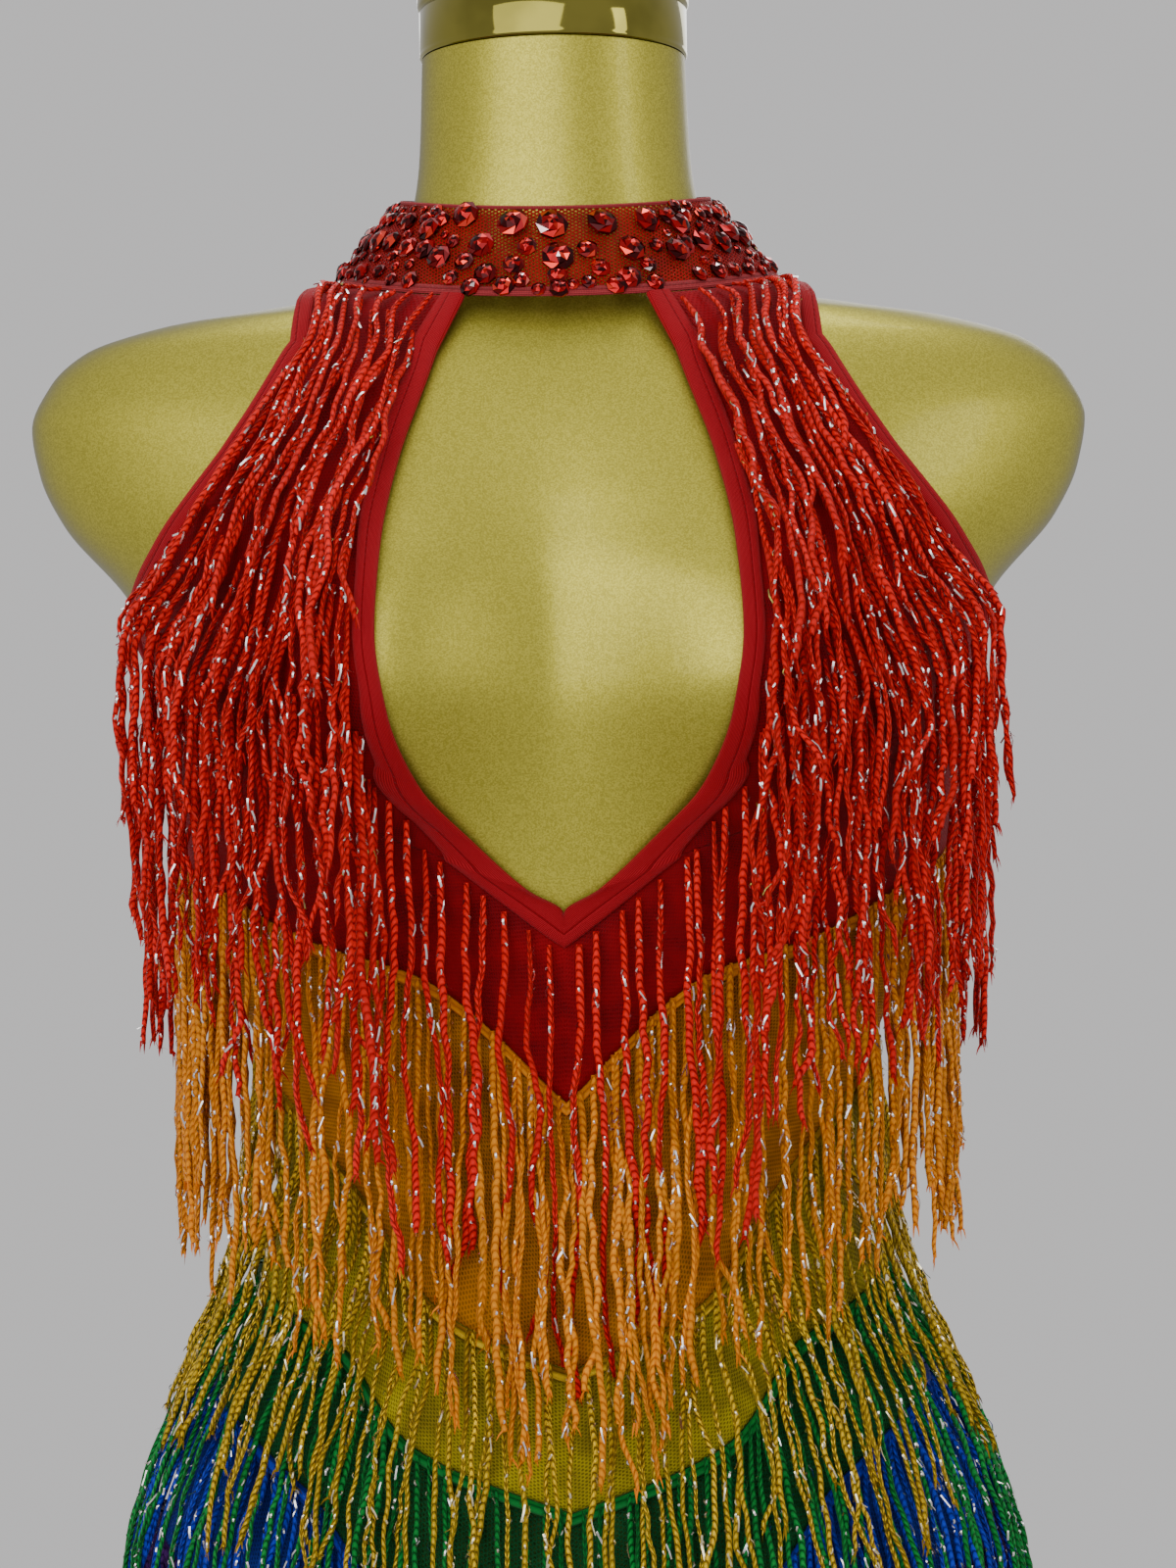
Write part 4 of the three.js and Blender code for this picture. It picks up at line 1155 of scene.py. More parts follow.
NETS = {
    Hue.RED: NetFinish("net_red", (0.3, 0.004, 0.01), (0.18, 0.002, 0.006), 0.8, 0.0012),
    Hue.ORANGE: NetFinish("net_orange", (0.66, 0.26, 0.01), (0.36, 0.13, 0.005), 0.55),
    Hue.GOLD: NetFinish("net_yellow", (0.56, 0.46, 0.02), (0.26, 0.2, 0.012), 0.4, 0.0014),
    Hue.GREEN: NetFinish("net_green", (0.01, 0.11, 0.03), (0.005, 0.06, 0.016), 0.45, 0.0014),
    Hue.BLUE: NetFinish("net_blue", (0.015, 0.04, 0.3), (0.008, 0.02, 0.17), 0.7),
    Hue.PURPLE: NetFinish("net_purple", (0.09, 0.012, 0.18), (0.05, 0.007, 0.11), 0.8),
}
# Each strand finish: the yarn's colour, then painted shade for the hollows between its stitches.
STRANDS = {
    Hue.RED: StrandFinish("strand_red", (0.95, 0.014, 0.008), (0.34, 0.004, 0.003)),
    Hue.ORANGE: StrandFinish("strand_orange", (1.0, 0.35, 0.01), (0.75, 0.18, 0.005)),
    Hue.GOLD: StrandFinish("strand_gold", (0.88, 0.58, 0.025), (0.24, 0.13, 0.005), 0.55, 0.36),
    Hue.GREEN: StrandFinish("strand_green", (0.01, 0.32, 0.05), (0.002, 0.08, 0.012)),
    Hue.BLUE: StrandFinish("strand_blue", (0.016, 0.06, 0.78), (0.004, 0.014, 0.24)),
    Hue.PURPLE: StrandFinish("strand_purple", (0.1, 0.014, 0.2), (0.02, 0.004, 0.05)),
}
SILVER = MetalFinish("fleck_silver", (0.92, 0.91, 0.9), 0.22, 400.0)
GOLD_FLECK = MetalFinish("fleck_gold", (0.95, 0.85, 0.55), 0.24, 400.0)
CAP_METAL = MetalFinish("cap_polished_gold", (0.26, 0.23, 0.045), 0.06, 30.0)
HOOK_METAL = MetalFinish("hook_steel", (0.6, 0.6, 0.62), 0.25, 200.0)
BINDING_RED = BindingFinish("binding_red", (0.39, 0.003, 0.011))
BINDING_PURPLE = BindingFinish("binding_purple", (0.09, 0.012, 0.18), 0.0045)
COLLAR_EDGE = BindingFinish("collar_edge", (0.34, 0.03, 0.035), 0.0022)
COLLAR_NET = NetFinish("net_collar", (0.3, 0.006, 0.006), (0.2, 0.004, 0.004), 0.08, 0.0013)
# Light and dark flakes; the dark, deepened, is also the painted shade at grazing edges.
FORM_GOLD = FlakeFinish("form_gold_flake", (0.57, 0.515, 0.075), (0.4, 0.355, 0.04))
# Colours in order: painted shade, the stone's red, painted glint and painted white flash.
CRYSTAL = CrystalFinish(
    "crystal_siam", (0.035, 0.0, 0.001), (0.42, 0.003, 0.006), (0.95, 0.06, 0.03), (1.0, 0.85, 0.85)
)


# ---- the form
@dataclass
class DressForm:
    """Smooth limbless torso, its two thigh stubs and the polished cap of its neck."""

    columns: int = 144
    bowl_columns: int = 72
    bowl_rows: int = 48
    thigh_sides: int = 72

    def trunk_patch(self) -> Patch:
        """Trunk from the hips to the neck: rings at heights that are closer near the shoulders.

        Returns:
            The patch.
        """
        heights = np.concatenate([
            np.linspace(HIP_LEVEL, 600, 89)[:-1],
            np.linspace(600, 690, 37)[:-1],
            np.linspace(690, 745, 45)[:-1],
            np.linspace(745, NECK_TOP, 16),
        ])
        angle = np.linspace(0, 360, self.columns + 1)
        points = TRUNK_SHAPE.point(angle[None, :], heights[:, None])
        return surface_patch(points, length_uv(points))

    def bowl_patch(self) -> Patch:
        """Closed underside between the thighs.

        Returns:
            The patch.
        """
        angle = np.linspace(-90, 90, self.bowl_columns + 1)
        turn = np.linspace(0, 180, self.bowl_rows + 1)
        points = TRUNK_SHAPE.bowl(angle[None, :], turn[::-1, None], 0.0)
        return surface_patch(points, length_uv(points))

    def thigh_patch(self, side: int) -> Patch:
        """One thigh stub: elliptical rings, with a small round at its foot and a flat sole.

        Args:
            side: 1 at +X or -1 at -X.

        Returns:
            The patch.
        """
        rows, *columns = np.asarray(THIGH, float).T
        curves = [MonotoneCurve(rows, values) for values in columns]
        heights = np.array([0, 0, 0.4, 1.4, 3, *np.linspace(8, 166, 20)])
        inset = np.array([60, 3, 1.2, 0.3, 0, *np.zeros(20)])[:, None]
        centre, half, depth = (curve(heights)[:, None] for curve in curves)
        angle = np.radians(np.linspace(0, 360, self.thigh_sides + 1))[None, :]
        x = side * centre + np.maximum(half - inset, 0) * np.cos(angle)
        y = np.maximum(depth - inset, 0) * np.sin(angle) + 6
        points = np.stack([x, y, heights[:, None] + np.zeros_like(x)], -1)
        return surface_patch(points, length_uv(points))

    def cap_object(self) -> Piece:
        """Turned cap: a straight band with a fine groove and rounded lips, and a dished top.

        Returns:
            The object.
        """
        radius = float(TRUNK_SHAPE.curves["half"](NECK_TOP)) + 0.8
        low, high = NECK_TOP + 0.3, NECK_TOP + 0.3 + CAP_HEIGHT
        profile = np.array([
            (0, low), (radius - 1.2, low), (radius - 0.3, low + 0.1), (radius, low + 0.5),
            (radius + 0.1, low + 1.4), (radius - 0.1, low + 2.0), (radius, low + 2.6),
            (radius, high - 6.2), (radius - 0.35, high - 5.8), (radius - 0.35, high - 5.3),
            (radius + 0.5, high - 4.8), (radius + 0.8, high - 4.0), (radius + 0.8, high - 1.2),
            (radius + 0.5, high - 0.4), (radius - 0.2, high), (radius - 2.2, high),
            (radius - 3.0, high - 0.5), (radius - 4.2, high - 1.1), (20, high - 1.1), (0, high - 1.1),
        ])
        angle = np.radians(np.linspace(0, 360, 129))[None, :]
        x = profile[:, :1] * np.sin(angle)
        points = np.stack([x, -profile[:, :1] * np.cos(angle), profile[:, 1:] + 0 * x], -1)
        patch = surface_patch(points, length_uv(points))
        cap = make_object("neck_cap", [patch], CAP_METAL)
        weld(cap)
        cap.modifiers.new("split", "EDGE_SPLIT").split_angle = math.radians(50)
        return cap

    def build(self) -> None:
        """Make both pieces of the form."""
        patches = [self.trunk_patch(), self.bowl_patch(), self.thigh_patch(1), self.thigh_patch(-1)]
        torso = make_object("torso", patches, FORM_GOLD)
        weld(torso)
        install(torso, "form_gold", "form_torso")
        install(self.cap_object(), "cap_gold", "form_neck_cap")


def weld(piece: Piece) -> None:
    """Join the meeting edges of a piece's patches and turn its faces outward.

    Args:
        piece: The piece.
    """
    work = bmesh.new()
    work.from_mesh(piece.data)
    bmesh.ops.remove_doubles(work, verts=work.verts[:], dist=2e-5)
    bmesh.ops.recalc_face_normals(work, faces=work.faces[:])
    work.to_mesh(piece.data)
    work.free()


# ---- the cloth
CREASE_COLUMNS = ("angle", "height", "heading", "length", "width", "spacing", "rise")
CREASES = (
    (72, 560, 35, 45, 14, 9, 0.7),
    (80, 600, 60, 40, 12, 8, 0.8),
    (30, 462, 80, 26, 22, 9, 0.5),
    (12, 455, 85, 22, 14, 8, 0.4),
    (62, 392, 5, 60, 16, 8, 0.9),
    (50, 372, -8, 50, 13, 7, 0.7),
    (70, 345, 12, 50, 16, 9, 0.8),
    (25, 345, 20, 40, 12, 8, 0.5),
    (40, 300, 35, 46, 14, 9, 0.5),
    (35, 190, -40, 40, 12, 9, 0.6),
    (140, 400, 4, 60, 18, 9, 0.9),
    (165, 372, -4, 60, 14, 8, 0.7),
    (150, 520, 20, 50, 16, 10, 0.6),
)


def crease_rise(angle: Array, z: Array) -> Array:
    """Height of the tension folds: packets of cosine ridges that fade out around their places.

    Args:
        angle: Angles in degrees.
        z: Heights.

    Returns:
        How far the cloth stands out, zero where it is smooth.
    """
    away = np.abs((angle + 180) % 360 - 180)[..., None]
    table = dict(zip(CREASE_COLUMNS, np.asarray(CREASES, float).T))
    across = (away - table["angle"]) * 2.1
    up = z[..., None] - table["height"]
    heading = np.radians(table["heading"])
    along = across * np.cos(heading) + up * np.sin(heading)
    beside = up * np.cos(heading) - across * np.sin(heading)
    fade = np.exp(-((along / table["length"]) ** 2) - (beside / table["width"]) ** 2)
    ridge = 0.5 + 0.5 * np.cos(2 * np.pi * beside / table["spacing"] + 0.03 * along)
    return (table["rise"] * fade * ridge).sum(-1)


def worn_out(angle: Array, z: Array) -> Array:
    """How far the worn cloth's middle surface stands off the trunk, with its folds."""
    return CLOTH_MIDDLE + 0.8 * crease_rise(angle, z)


def worn_cloth(angle: Array, z: Array) -> Array:
    """Points of the worn cloth's middle surface."""
    return TRUNK_SHAPE.layer(angle, z, worn_out(angle, z))


@dataclass(frozen=True)
class Cut:
    """The flat cut of one sheet of cloth, in metres, and the pieces that are sewn on it."""

    width: float
    length: float
    area: float
    sewn_on: tuple[str, ...] = ()


def panel_angles(is_front: bool, count: int = 121) -> Array:
    """Angles in degrees across a front or back panel."""
    reach, middle = 90 - SIDE_SEAM_GAP, 0 if is_front else 180
    return np.linspace(middle - reach, middle + reach, count)


def bowl_layer(angle: Array, turn: Array, out: Array | float) -> Array:
    """Points of a layer under the hips, which meets the trunk's layer at the hip level.

    Args:
        angle: Angles across the front, in degrees.
        turn: 0 at the front to 180 degrees at the back.
        out: How far the layer stands off.

    Returns:
        The points.
    """
    ease = CROTCH_EASE * np.sin(np.radians(turn))
    under = TRUNK_SHAPE.bowl(angle, turn, np.broadcast_to(out + ease, np.broadcast(angle, turn).shape))
    front = TRUNK_SHAPE.layer(angle, HIP_LEVEL + 0 * angle, out)
    behind = TRUNK_SHAPE.layer(180 - angle, HIP_LEVEL + 0 * angle, out)
    meets = np.where((turn == 0)[..., None], front, behind)
    at_level = ((turn == 0) | (turn == 180))[..., None]
    return np.where(at_level, meets, under)


def leg_line(away: Array, start: float) -> Array:
    """Height of the leg opening's edge: a sine that rises from its start to the side."""
    t = np.clip((away - start) / (90 - start), 0, 1)
    return lerp(HIP_LEVEL, LEG_LINE["side"], np.sin(t * np.pi / 2) ** 0.8)


def gusset_reach(start: float, t: Array) -> Array:
    """Angle of the leg opening's edge in the bowl, for t from the hips to the crotch."""
    narrow = TRUNK_SHAPE.angle_at(np.asarray(LEG_LINE["gusset"]), HIP_LEVEL)
    return lerp(narrow, start, (1 - t) ** 1.6)


def leg_start(is_front: bool) -> float:
    """Angle at which the leg opening's edge leaves the hip level.

    Args:
        is_front: Whether it is the front panel's edge.

    Returns:
        The angle in degrees.
    """
    if not is_front:
        return COLUMNS["back_leg"] * (180 - 2 * SIDE_SEAM_GAP) / COLUMNS["back"]
    inner, outer = (float(HALTER.borders[end](0)) for end in (0, 1))
    share = COLUMNS["front_leg"] / COLUMNS["halter"]
    return lerp(inner, 1 - outer, share) * (90 - SIDE_SEAM_GAP)


@dataclass
class Bodysuit:
    """Every cut panel of the suit and the bindings of its edges."""

    rows: int = 30

    def add_panel(self, node: str, patches: list[Patch], hue: Hue) -> None:
        """Make one panel.

        Args:
            node: CAD node that it stands for.
            patches: Its stretches of mesh.
            hue: Its colour.
        """
        piece = make_object(f"panel_{node}", patches, NETS[hue])
        weld(piece)
        thicken(piece, 0.5)
        install(piece, NETS[hue].name.replace("net_", "mesh_"), node)

    def chevrons(self) -> None:
        """The chevron panels and the red top's back, whose edges are two heights at every angle."""
        made = [("back_red", Hue.RED, back_top, partial(seam_edge, 0, 0.2))]
        for k, hue in enumerate((Hue.ORANGE, Hue.GOLD, Hue.GREEN, Hue.BLUE)):
            word = NETS[hue].name.removeprefix("net_")
            upper, lower = partial(seam_edge, k, -0.2), partial(seam_edge, k + 1, 0.2)
            made += [(f"{side}_{word}", hue, upper, lower) for side in ("front", "back")]
        share = np.linspace(0, 1, self.rows)[:, None]
        for node, hue, upper, lower in made:
            angle = panel_angles(node.startswith("front"))[None, :]
            z = lerp(lower(angle), upper(angle), share)
            points = worn_cloth(angle + 0 * z, z)
            self.add_panel(node, [surface_patch(points, length_uv(points))], hue)

    def front_red(self) -> None:
        """The red front: both halves of the halter over courses and shares."""
        course = np.linspace(0, COLLAR_COURSE, 105)[:, None]
        share = np.linspace(0, 1, 49)[None, :]
        out = worn_out(*HALTER.place(course, share))
        patches = []
        for side in (1, -1):
            points = HALTER.layer(course, share, side, out)
            patches.append(surface_patch(points, length_uv(points)))
        self.add_panel("front_red", patches, Hue.RED)

    def lowest(self) -> None:
        """The lowest panels: over the hips to the leg line, then on to the crotch."""
        for is_front in (True, False):
            start = leg_start(is_front)
            angle = panel_angles(is_front)[None, :]
            away = angle[0] - (0 if is_front else 180)
            low, high = leg_line(np.abs(away), start)[None, :], seam_height(4, angle) - 0.2
            z = lerp(low, high, np.linspace(0, 1, 32)[:, None])
            over = worn_cloth(angle + 0 * z, z)
            t = np.linspace(0, 1, 25)[:, None]
            sweep = np.linspace(-1, 1, 49)[None, :] * (1 if is_front else -1)
            turn = 89.8 * t if is_front else 180 - 89.8 * t
            under = bowl_layer(sweep * gusset_reach(start, t), turn + 0 * sweep, CLOTH_MIDDLE)
            patches = [surface_patch(grid, length_uv(grid)) for grid in (over, under)]
            self.add_panel("front_purple" if is_front else "back_purple", patches, Hue.PURPLE)

    def build(self) -> None:
        """Make all panels."""
        self.chevrons()
        self.front_red()
        self.lowest()


# Across a binding: share of its width, and how far it stands out of the cloth there.
ACROSS = np.array([[0, 0, 0.06, 0.2, 0.4, 0.6, 0.8, 0.94, 1, 1]])
BAND_OUT = TRIM_OUT + np.array([[-1.2, 0.1, 0.75, 1.05, 1.15, 1.15, 1.05, 0.75, 0.1, -1.2]])


def band_patch(points: Array, material: int = 0) -> Patch:
    """A crowned band laid on the cloth, its edges turned down.

    Args:
        points: Points at ACROSS and BAND_OUT, one row for each station.
        material: Number of the material slot.

    Returns:
        The patch, with coordinates in metres along and across.
    """
    along = run_along(points[:, 4])[:, None] + 0 * points[..., 0]
    width = np.linalg.norm(points[:, -2] - points[:, 1], axis=-1).mean()
    across = ACROSS * width + 0 * along
    return surface_patch(points, np.stack([along, across], -1) * MILLIMETRE, material)


class Bindings:
    """Bound edges: the keyhole, both armholes, the back's top and both leg openings."""

    @staticmethod
    def edge_pair(
        first: tuple[Array, Array], last: tuple[Array, Array], side: int,
        climb: tuple[Array, float, float] | None = None,
    ) -> Patch:
        """A band between two edges that are given by angles and heights.

        Args:
            first: Angles and heights of the first edge.
            last: Angles and heights of the second edge.
            side: 1 at +X or -1 at -X.
            climb: For a band that ends at the collar, its courses and both edges' shares there.

        Returns:
            The patch.
        """
        angle, z = (lerp(first[n][:, None], last[n][:, None], ACROSS) for n in (0, 1))
        out = BAND_OUT + 0 * angle
        points = TRUNK_SHAPE.layer(side * angle, z, out)
        if climb:
            course, near, far = climb
            share = lerp(near, far, ACROSS) + 0 * angle
            points = HALTER.rise(points, course[:, None] + 0 * angle, share, side, out)
        return band_patch(points)

    def halter_edge(self, end: int, side: int) -> Patch:
        """The binding along one edge of the halter, up to the collar.

        Over its first course its inner line leaves the mitre at the keyhole's point, or its own
        width under the armhole's edge.

        Args:
            end: 0 for the keyhole or 1 for the armhole.
            side: 1 at +X or -1 at -X.

        Returns:
            The patch.
        """
        border = HALTER.borders[end]
        first = (APEX_COURSE, UNDERARM_COURSE)[end]
        course = np.linspace(first, COLLAR_COURSE, (141, 127)[end])
        edge = HALTER.place(course, end + 0 * course)
        inner = HALTER.place(course, np.abs(end - border(course)))
        after = np.array([first + 1.0])
        join = HALTER.place(after, np.abs(end - border(after)))
        blend = np.clip(course - first, 0, 1)
        low = course < first + 1
        mitre = (0, COURSES[APEX_COURSE - 1][1])
        under_arm = (edge[0][0], COURSES[UNDERARM_COURSE][3] - BINDING_WIDTH)
        root = (mitre, under_arm)[end]
        line = tuple(np.where(low, lerp(root[n], join[n], blend), inner[n]) for n in (0, 1))
        climb = (course, abs(end - float(border(SHOULDER_COURSE))), float(end))
        return self.edge_pair(line, edge, side, climb)

    def back(self) -> Patch:
        """The binding along the back's top edge."""
        angle = panel_angles(False, 161)
        return self.edge_pair((angle, back_top(angle) - BINDING_WIDTH), (angle, back_top(angle)), 1)

    def leg(self, side: int) -> list[Patch]:
        """One leg opening's binding: two wings over the hips and two stretches under them.

        Args:
            side: 1 at +X or -1 at -X.

        Returns:
            The patches.
        """
        patches = []
        for is_front in (True, False):
            start = leg_start(is_front)
            away = np.linspace(start, 90, 60)
            angle = away if is_front else 180 - away
            low = leg_line(away, start) + 0.3
            patches.append(self.edge_pair((angle, low), (angle, low + LEG_BINDING_WIDTH), side))
            t = np.linspace(0.0, 1, 30)[:, None]
            turn = 90 * t if is_front else 180 - 90 * t
            inset = float(TRUNK_SHAPE.angle_at(np.asarray(LEG_BINDING_WIDTH), HIP_LEVEL))
            reach = gusset_reach(start, t)
            angle = side * (reach - ACROSS * inset)
            patches.append(band_patch(bowl_layer(angle, turn + 0 * angle, BAND_OUT + 0 * angle)))
        return patches

    def build(self) -> None:
        """Make every binding."""
        made = {
            "keyhole_binding": [self.halter_edge(0, 1), self.halter_edge(0, -1)],
            "armhole_binding_right": [self.halter_edge(1, 1)],
            "armhole_binding_left": [self.halter_edge(1, -1)],
            "back_binding": [self.back()],
            "leg_binding_right": self.leg(1),
            "leg_binding_left": self.leg(-1),
        }
        for node, patches in made.items():
            on_leg = node.startswith("leg")
            piece = make_object(f"trim_{node}", patches, BINDING_PURPLE if on_leg else BINDING_RED)
            weld(piece)
            install(piece, "mesh_purple" if on_leg else "binding_red", node)


# ---- the collar
# Place across, share of the collar's height, and diameter.
FRONT_STONES = (
    (-15, 0.8, 12), (-1, 0.78, 12.2), (17, 0.79, 11.8), (33, 0.8, 11), (-32, 0.88, 10.8),
    (-10, 0.54, 7.4), (1, 0.42, 12.2), (11.6, 0.5, 8.2), (-26.5, 0.55, 10.3), (27.4, 0.49, 10.8),
    (-36.8, 0.58, 5.9), (36.6, 0.51, 6.1), (-42, 0.4, 9.8), (-32.7, 0.36, 7.9), (-15, 0.34, 8.2),
    (16.2, 0.29, 7.4), (33.4, 0.3, 6.7), (-25, 0.23, 9), (-37.8, 0.18, 6.4), (-12.2, 0.17, 6.7),
    (26.6, 0.17, 9.1), (0.8, 0.22, 7.7), (1.4, 0.07, 7.7), (6.2, 0.12, 5.1), (-18.6, 0.1, 8.4),
    (22, 0.09, 8.2), (-30.6, 0.08, 7.7), (36, 0.1, 7.2), (12, 0.14, 5.9), (-6, 0.07, 5.6),
    (-45.4, 0.7, 10.3), (45, 0.72, 10.1), (44.2, 0.44, 10.3), (-43, 0.9, 6.4), (43.4, 0.93, 6.1),
)
SIDE_ROWS = ((0.82, 9.6, 7.8), (0.5, 11.0, 9.6), (0.14, 9.0, 7.6))


@dataclass
class Collar:
    """Flared stand collar of sheer mesh with faceted stones, closed by hooks on a tape."""

    small_stones: int = 150
    facets: int = 8
    around: float = 455.0
    tall: float = 38.0

    def band(self) -> Piece:
        """The mesh band, open at the back, with a turned edge above and below.

        Returns:
            The object.
        """
        angle = np.linspace(-179.7, 179.7, 181)[None, :]
        rise = np.linspace(0, 1, 17)[:, None]
        points = collar_point(angle + 0 * rise, rise + 0 * angle, 0.6)
        patches = [surface_patch(points, length_uv(points))]
        for low, high in ((0.0, 0.1), (0.965, 1.0)):
            edge = np.linspace(low, high, 5)[:, None]
            out = np.array([0.65, 1.1, 1.2, 1.1, 0.65])[:, None] + 0 * angle
            grid = collar_point(angle + 0 * edge, edge + 0 * angle, out)
            patches.append(surface_patch(grid, length_uv(grid), 1))
        made = make_object("collar_mesh", patches, COLLAR_NET, COLLAR_EDGE)
        thicken(made, 0.35)
        return made

    def stone_places(self) -> tuple[Array, Array, Array]:
        """Angle, rise and diameter of every stone.

        The front's are listed; round the sides and the back three even rows follow, then
        small ones, each kept where it clears every stone before it.

        Returns:
            Angles, rises and diameters.
        """
        rng = np.random.default_rng(SEED)
        across, rise, size = np.asarray(FRONT_STONES, float).T
        half = lerp(COLLAR_LOWER["half"], COLLAR_UPPER["half"], rise)
        arc = self.around / (2 * np.pi) * np.arcsin(across / half)
        placed = [np.stack([arc, rise * self.tall, size], -1)]
        reach = self.around / 2 - 14
        for level, pitch, wide in SIDE_ROWS:
            s = np.arange(52, reach, pitch)
            s = np.concatenate([s, -s]) + rng.normal(0, 0.7, 2 * len(s))
            height = level * self.tall + rng.normal(0, 1.2, len(s))
            placed.append(np.stack([s, height, wide * rng.uniform(0.75, 1.1, len(s))], -1))
        stones = np.concatenate(placed)
        tries = np.stack([
            rng.uniform(46, reach, 5000) * rng.choice([-1, 1], 5000),
            rng.uniform(3.0, self.tall - 3.0, 5000),
            rng.choice([3.8, 4.8, 6.0], 5000),
        ], -1)
        kept = 0
        for one in tries:
            gap = np.hypot(*(stones[:, :2] - one[:2]).T) - (stones[:, 2] + one[2]) / 2
            if gap.min() > 0.3:
                stones = np.vstack([stones, one])
                kept += 1
            if kept >= self.small_stones:
                break
        return stones[:, 0] / self.around * 360, stones[:, 1] / self.tall, stones[:, 2]

    def stones(self) -> Piece:
        """Cut stones: a girdle, crown facets turned by half a step, and a low point.

        Each facet has a value of its own, as its first coordinate.

        Returns:
            The object.
        """
        rng = np.random.default_rng(SEED + 1)
        angle, rise, size = self.stone_places()
        origin = collar_point(angle, rise, 1.0 + 0 * angle)
        out = unit(collar_point(angle, rise, 2.0 + 0 * angle) - origin)
        side = unit(np.cross(np.array([0, 0, 1.0]), out))
        up = np.cross(out, side)
        tilt = rng.normal(0, 0.07, (len(angle), 2))
        out = unit(out + side * tilt[:, :1] + up * tilt[:, 1:])
        side = unit(np.cross(up, out))
        up = np.cross(out, side)
        turn = rng.uniform(0, 1, len(angle))[:, None, None]
        n = self.facets
        rings = np.array([
            (1.0, 0.0, 0.0), (1.0, 0.16, 0.0), (0.7, 0.4, 0.5), (0.34, 0.54, 0.0), (0.0, 0.6, 0.0),
        ])
        step = 2 * np.pi * (np.arange(n)[None, None, :] + rings[None, :, 2:3] + turn) / n
        reach = rings[None, :, 0:1] * size[:, None, None] / 2
        lift = rings[None, :, 1:2] * size[:, None, None] * 0.62
        points = (
            origin[:, None, None]
            + side[:, None, None] * (reach * np.cos(step))[..., None]
            + up[:, None, None] * (reach * np.sin(step))[..., None]
            + out[:, None, None] * (lift + 0 * step)[..., None]
        )
        quads = grid_faces(len(rings), n, closed=True)
        one = np.concatenate([quads[:, [0, 1, 2]], quads[:, [0, 2, 3]]])
        faces = copied_faces(one, len(angle), len(rings) * n)
        facet = rng.uniform(0, 1, (len(angle), len(quads)))
        uv = np.zeros((len(faces), 3, 2))
        uv[..., 0] = np.concatenate([facet, facet], 1).reshape(-1, 1)
        patch = Patch(points.reshape(-1, 3), faces, uv)
        return make_object("collar_stones", [patch], CRYSTAL, shaded=False)

    def tape(self) -> Piece:
        """The hook tape over the meeting ends, with two wire hooks.

        Returns:
            The object.
        """
        angle = np.linspace(174.2, 185.8, 13)[None, :]
        rise = np.linspace(0.06, 0.94, 25)[:, None]
        crown = 1 - np.abs(np.linspace(-1, 1, 13)[None, :]) ** 4
        points = collar_point(angle + 0 * rise, rise + 0 * angle, 1.75 + 1.0 * crown + 0 * rise)
        patches = [surface_patch(points, length_uv(points))]
        t = np.linspace(0, 1, 40)
        for level in (0.3, 0.7):
            sweep = 180 + 4.2 * np.cos(np.pi * 1.7 * t + 0.15 * np.pi)
            lift = level + 0.05 * np.sin(np.pi * 1.7 * t + 0.15 * np.pi)
            path = collar_point(sweep, lift, 3.2 + 0 * t)[None]
            bent = np.full((1, 40), 0.42)
            outward = np.array([[0.0, 1.0, 0.3]])
            patches.append(tube_patch(path, unit(outward), bent, bent, 8, 1))
        return make_object("collar_hooks", patches, BINDING_RED, HOOK_METAL)

    def build(self) -> None:
        """Make the collar's pieces."""
        install(self.band(), "mesh_red", "collar_band")
        install(self.stones(), "collar_crystal")
        install(self.tape(), "binding_red", "collar_hook_tape")


# ---- the fringe
def tube_patch(
    path: Array, outward: Array, wide: Array, deep: Array, sides: int, material: int,
    twist: Array | float = 0.0, tone: Array | None = None,
) -> Patch:
    """Tubes along many paths at once, with elliptical sections that turn along them.

    Args:
        path: Points with shape (tubes, stations, 3).
        outward: The side of each tube that faces away from the body, with shape (tubes, 3).
        wide: Half width at every station.
        deep: Half depth at every station.
        sides: Sides of each tube.
        material: Number of the material slot.
        twist: Turn of the section at every station, in radians.
        tone: Tone of each tube.

    Returns:
        The patch, with coordinates of turns round and metres along.
    """
    tubes, stations = path.shape[:2]
    tangent = unit(np.gradient(path, axis=1))
    aside = unit(np.cross(tangent, outward[:, None, :]))
    ahead = np.cross(aside, tangent)
    turn = 2 * np.pi * np.arange(sides) / sides
    local_x = wide[..., None] * np.cos(turn)
    local_y = deep[..., None] * np.sin(turn)
    twist = np.broadcast_to(twist, wide.shape)[..., None]
    x = local_x * np.cos(twist) - local_y * np.sin(twist)
    y = local_x * np.sin(twist) + local_y * np.cos(twist)
    points = path[:, :, None] + aside[:, :, None] * x[..., None] + ahead[:, :, None] * y[..., None]
    quads = grid_faces(stations, sides, closed=True)
    faces = copied_faces(quads, tubes, stations * sides)
    along = run_along(path, 1) * MILLIMETRE
    station = quads // sides
    round_share = (quads % sides) / sides
    round_share[:, 1:3] = np.where(round_share[:, 1:3] == 0, 1.0, round_share[:, 1:3])
    uv = np.stack([np.broadcast_to(round_share, (tubes, *round_share.shape)), along[:, station]], -1)
    spread = None if tone is None else np.repeat(tone, stations * sides)
    return Patch(points.reshape(-1, 3), faces, uv.reshape(-1, 4, 2), material, spread)


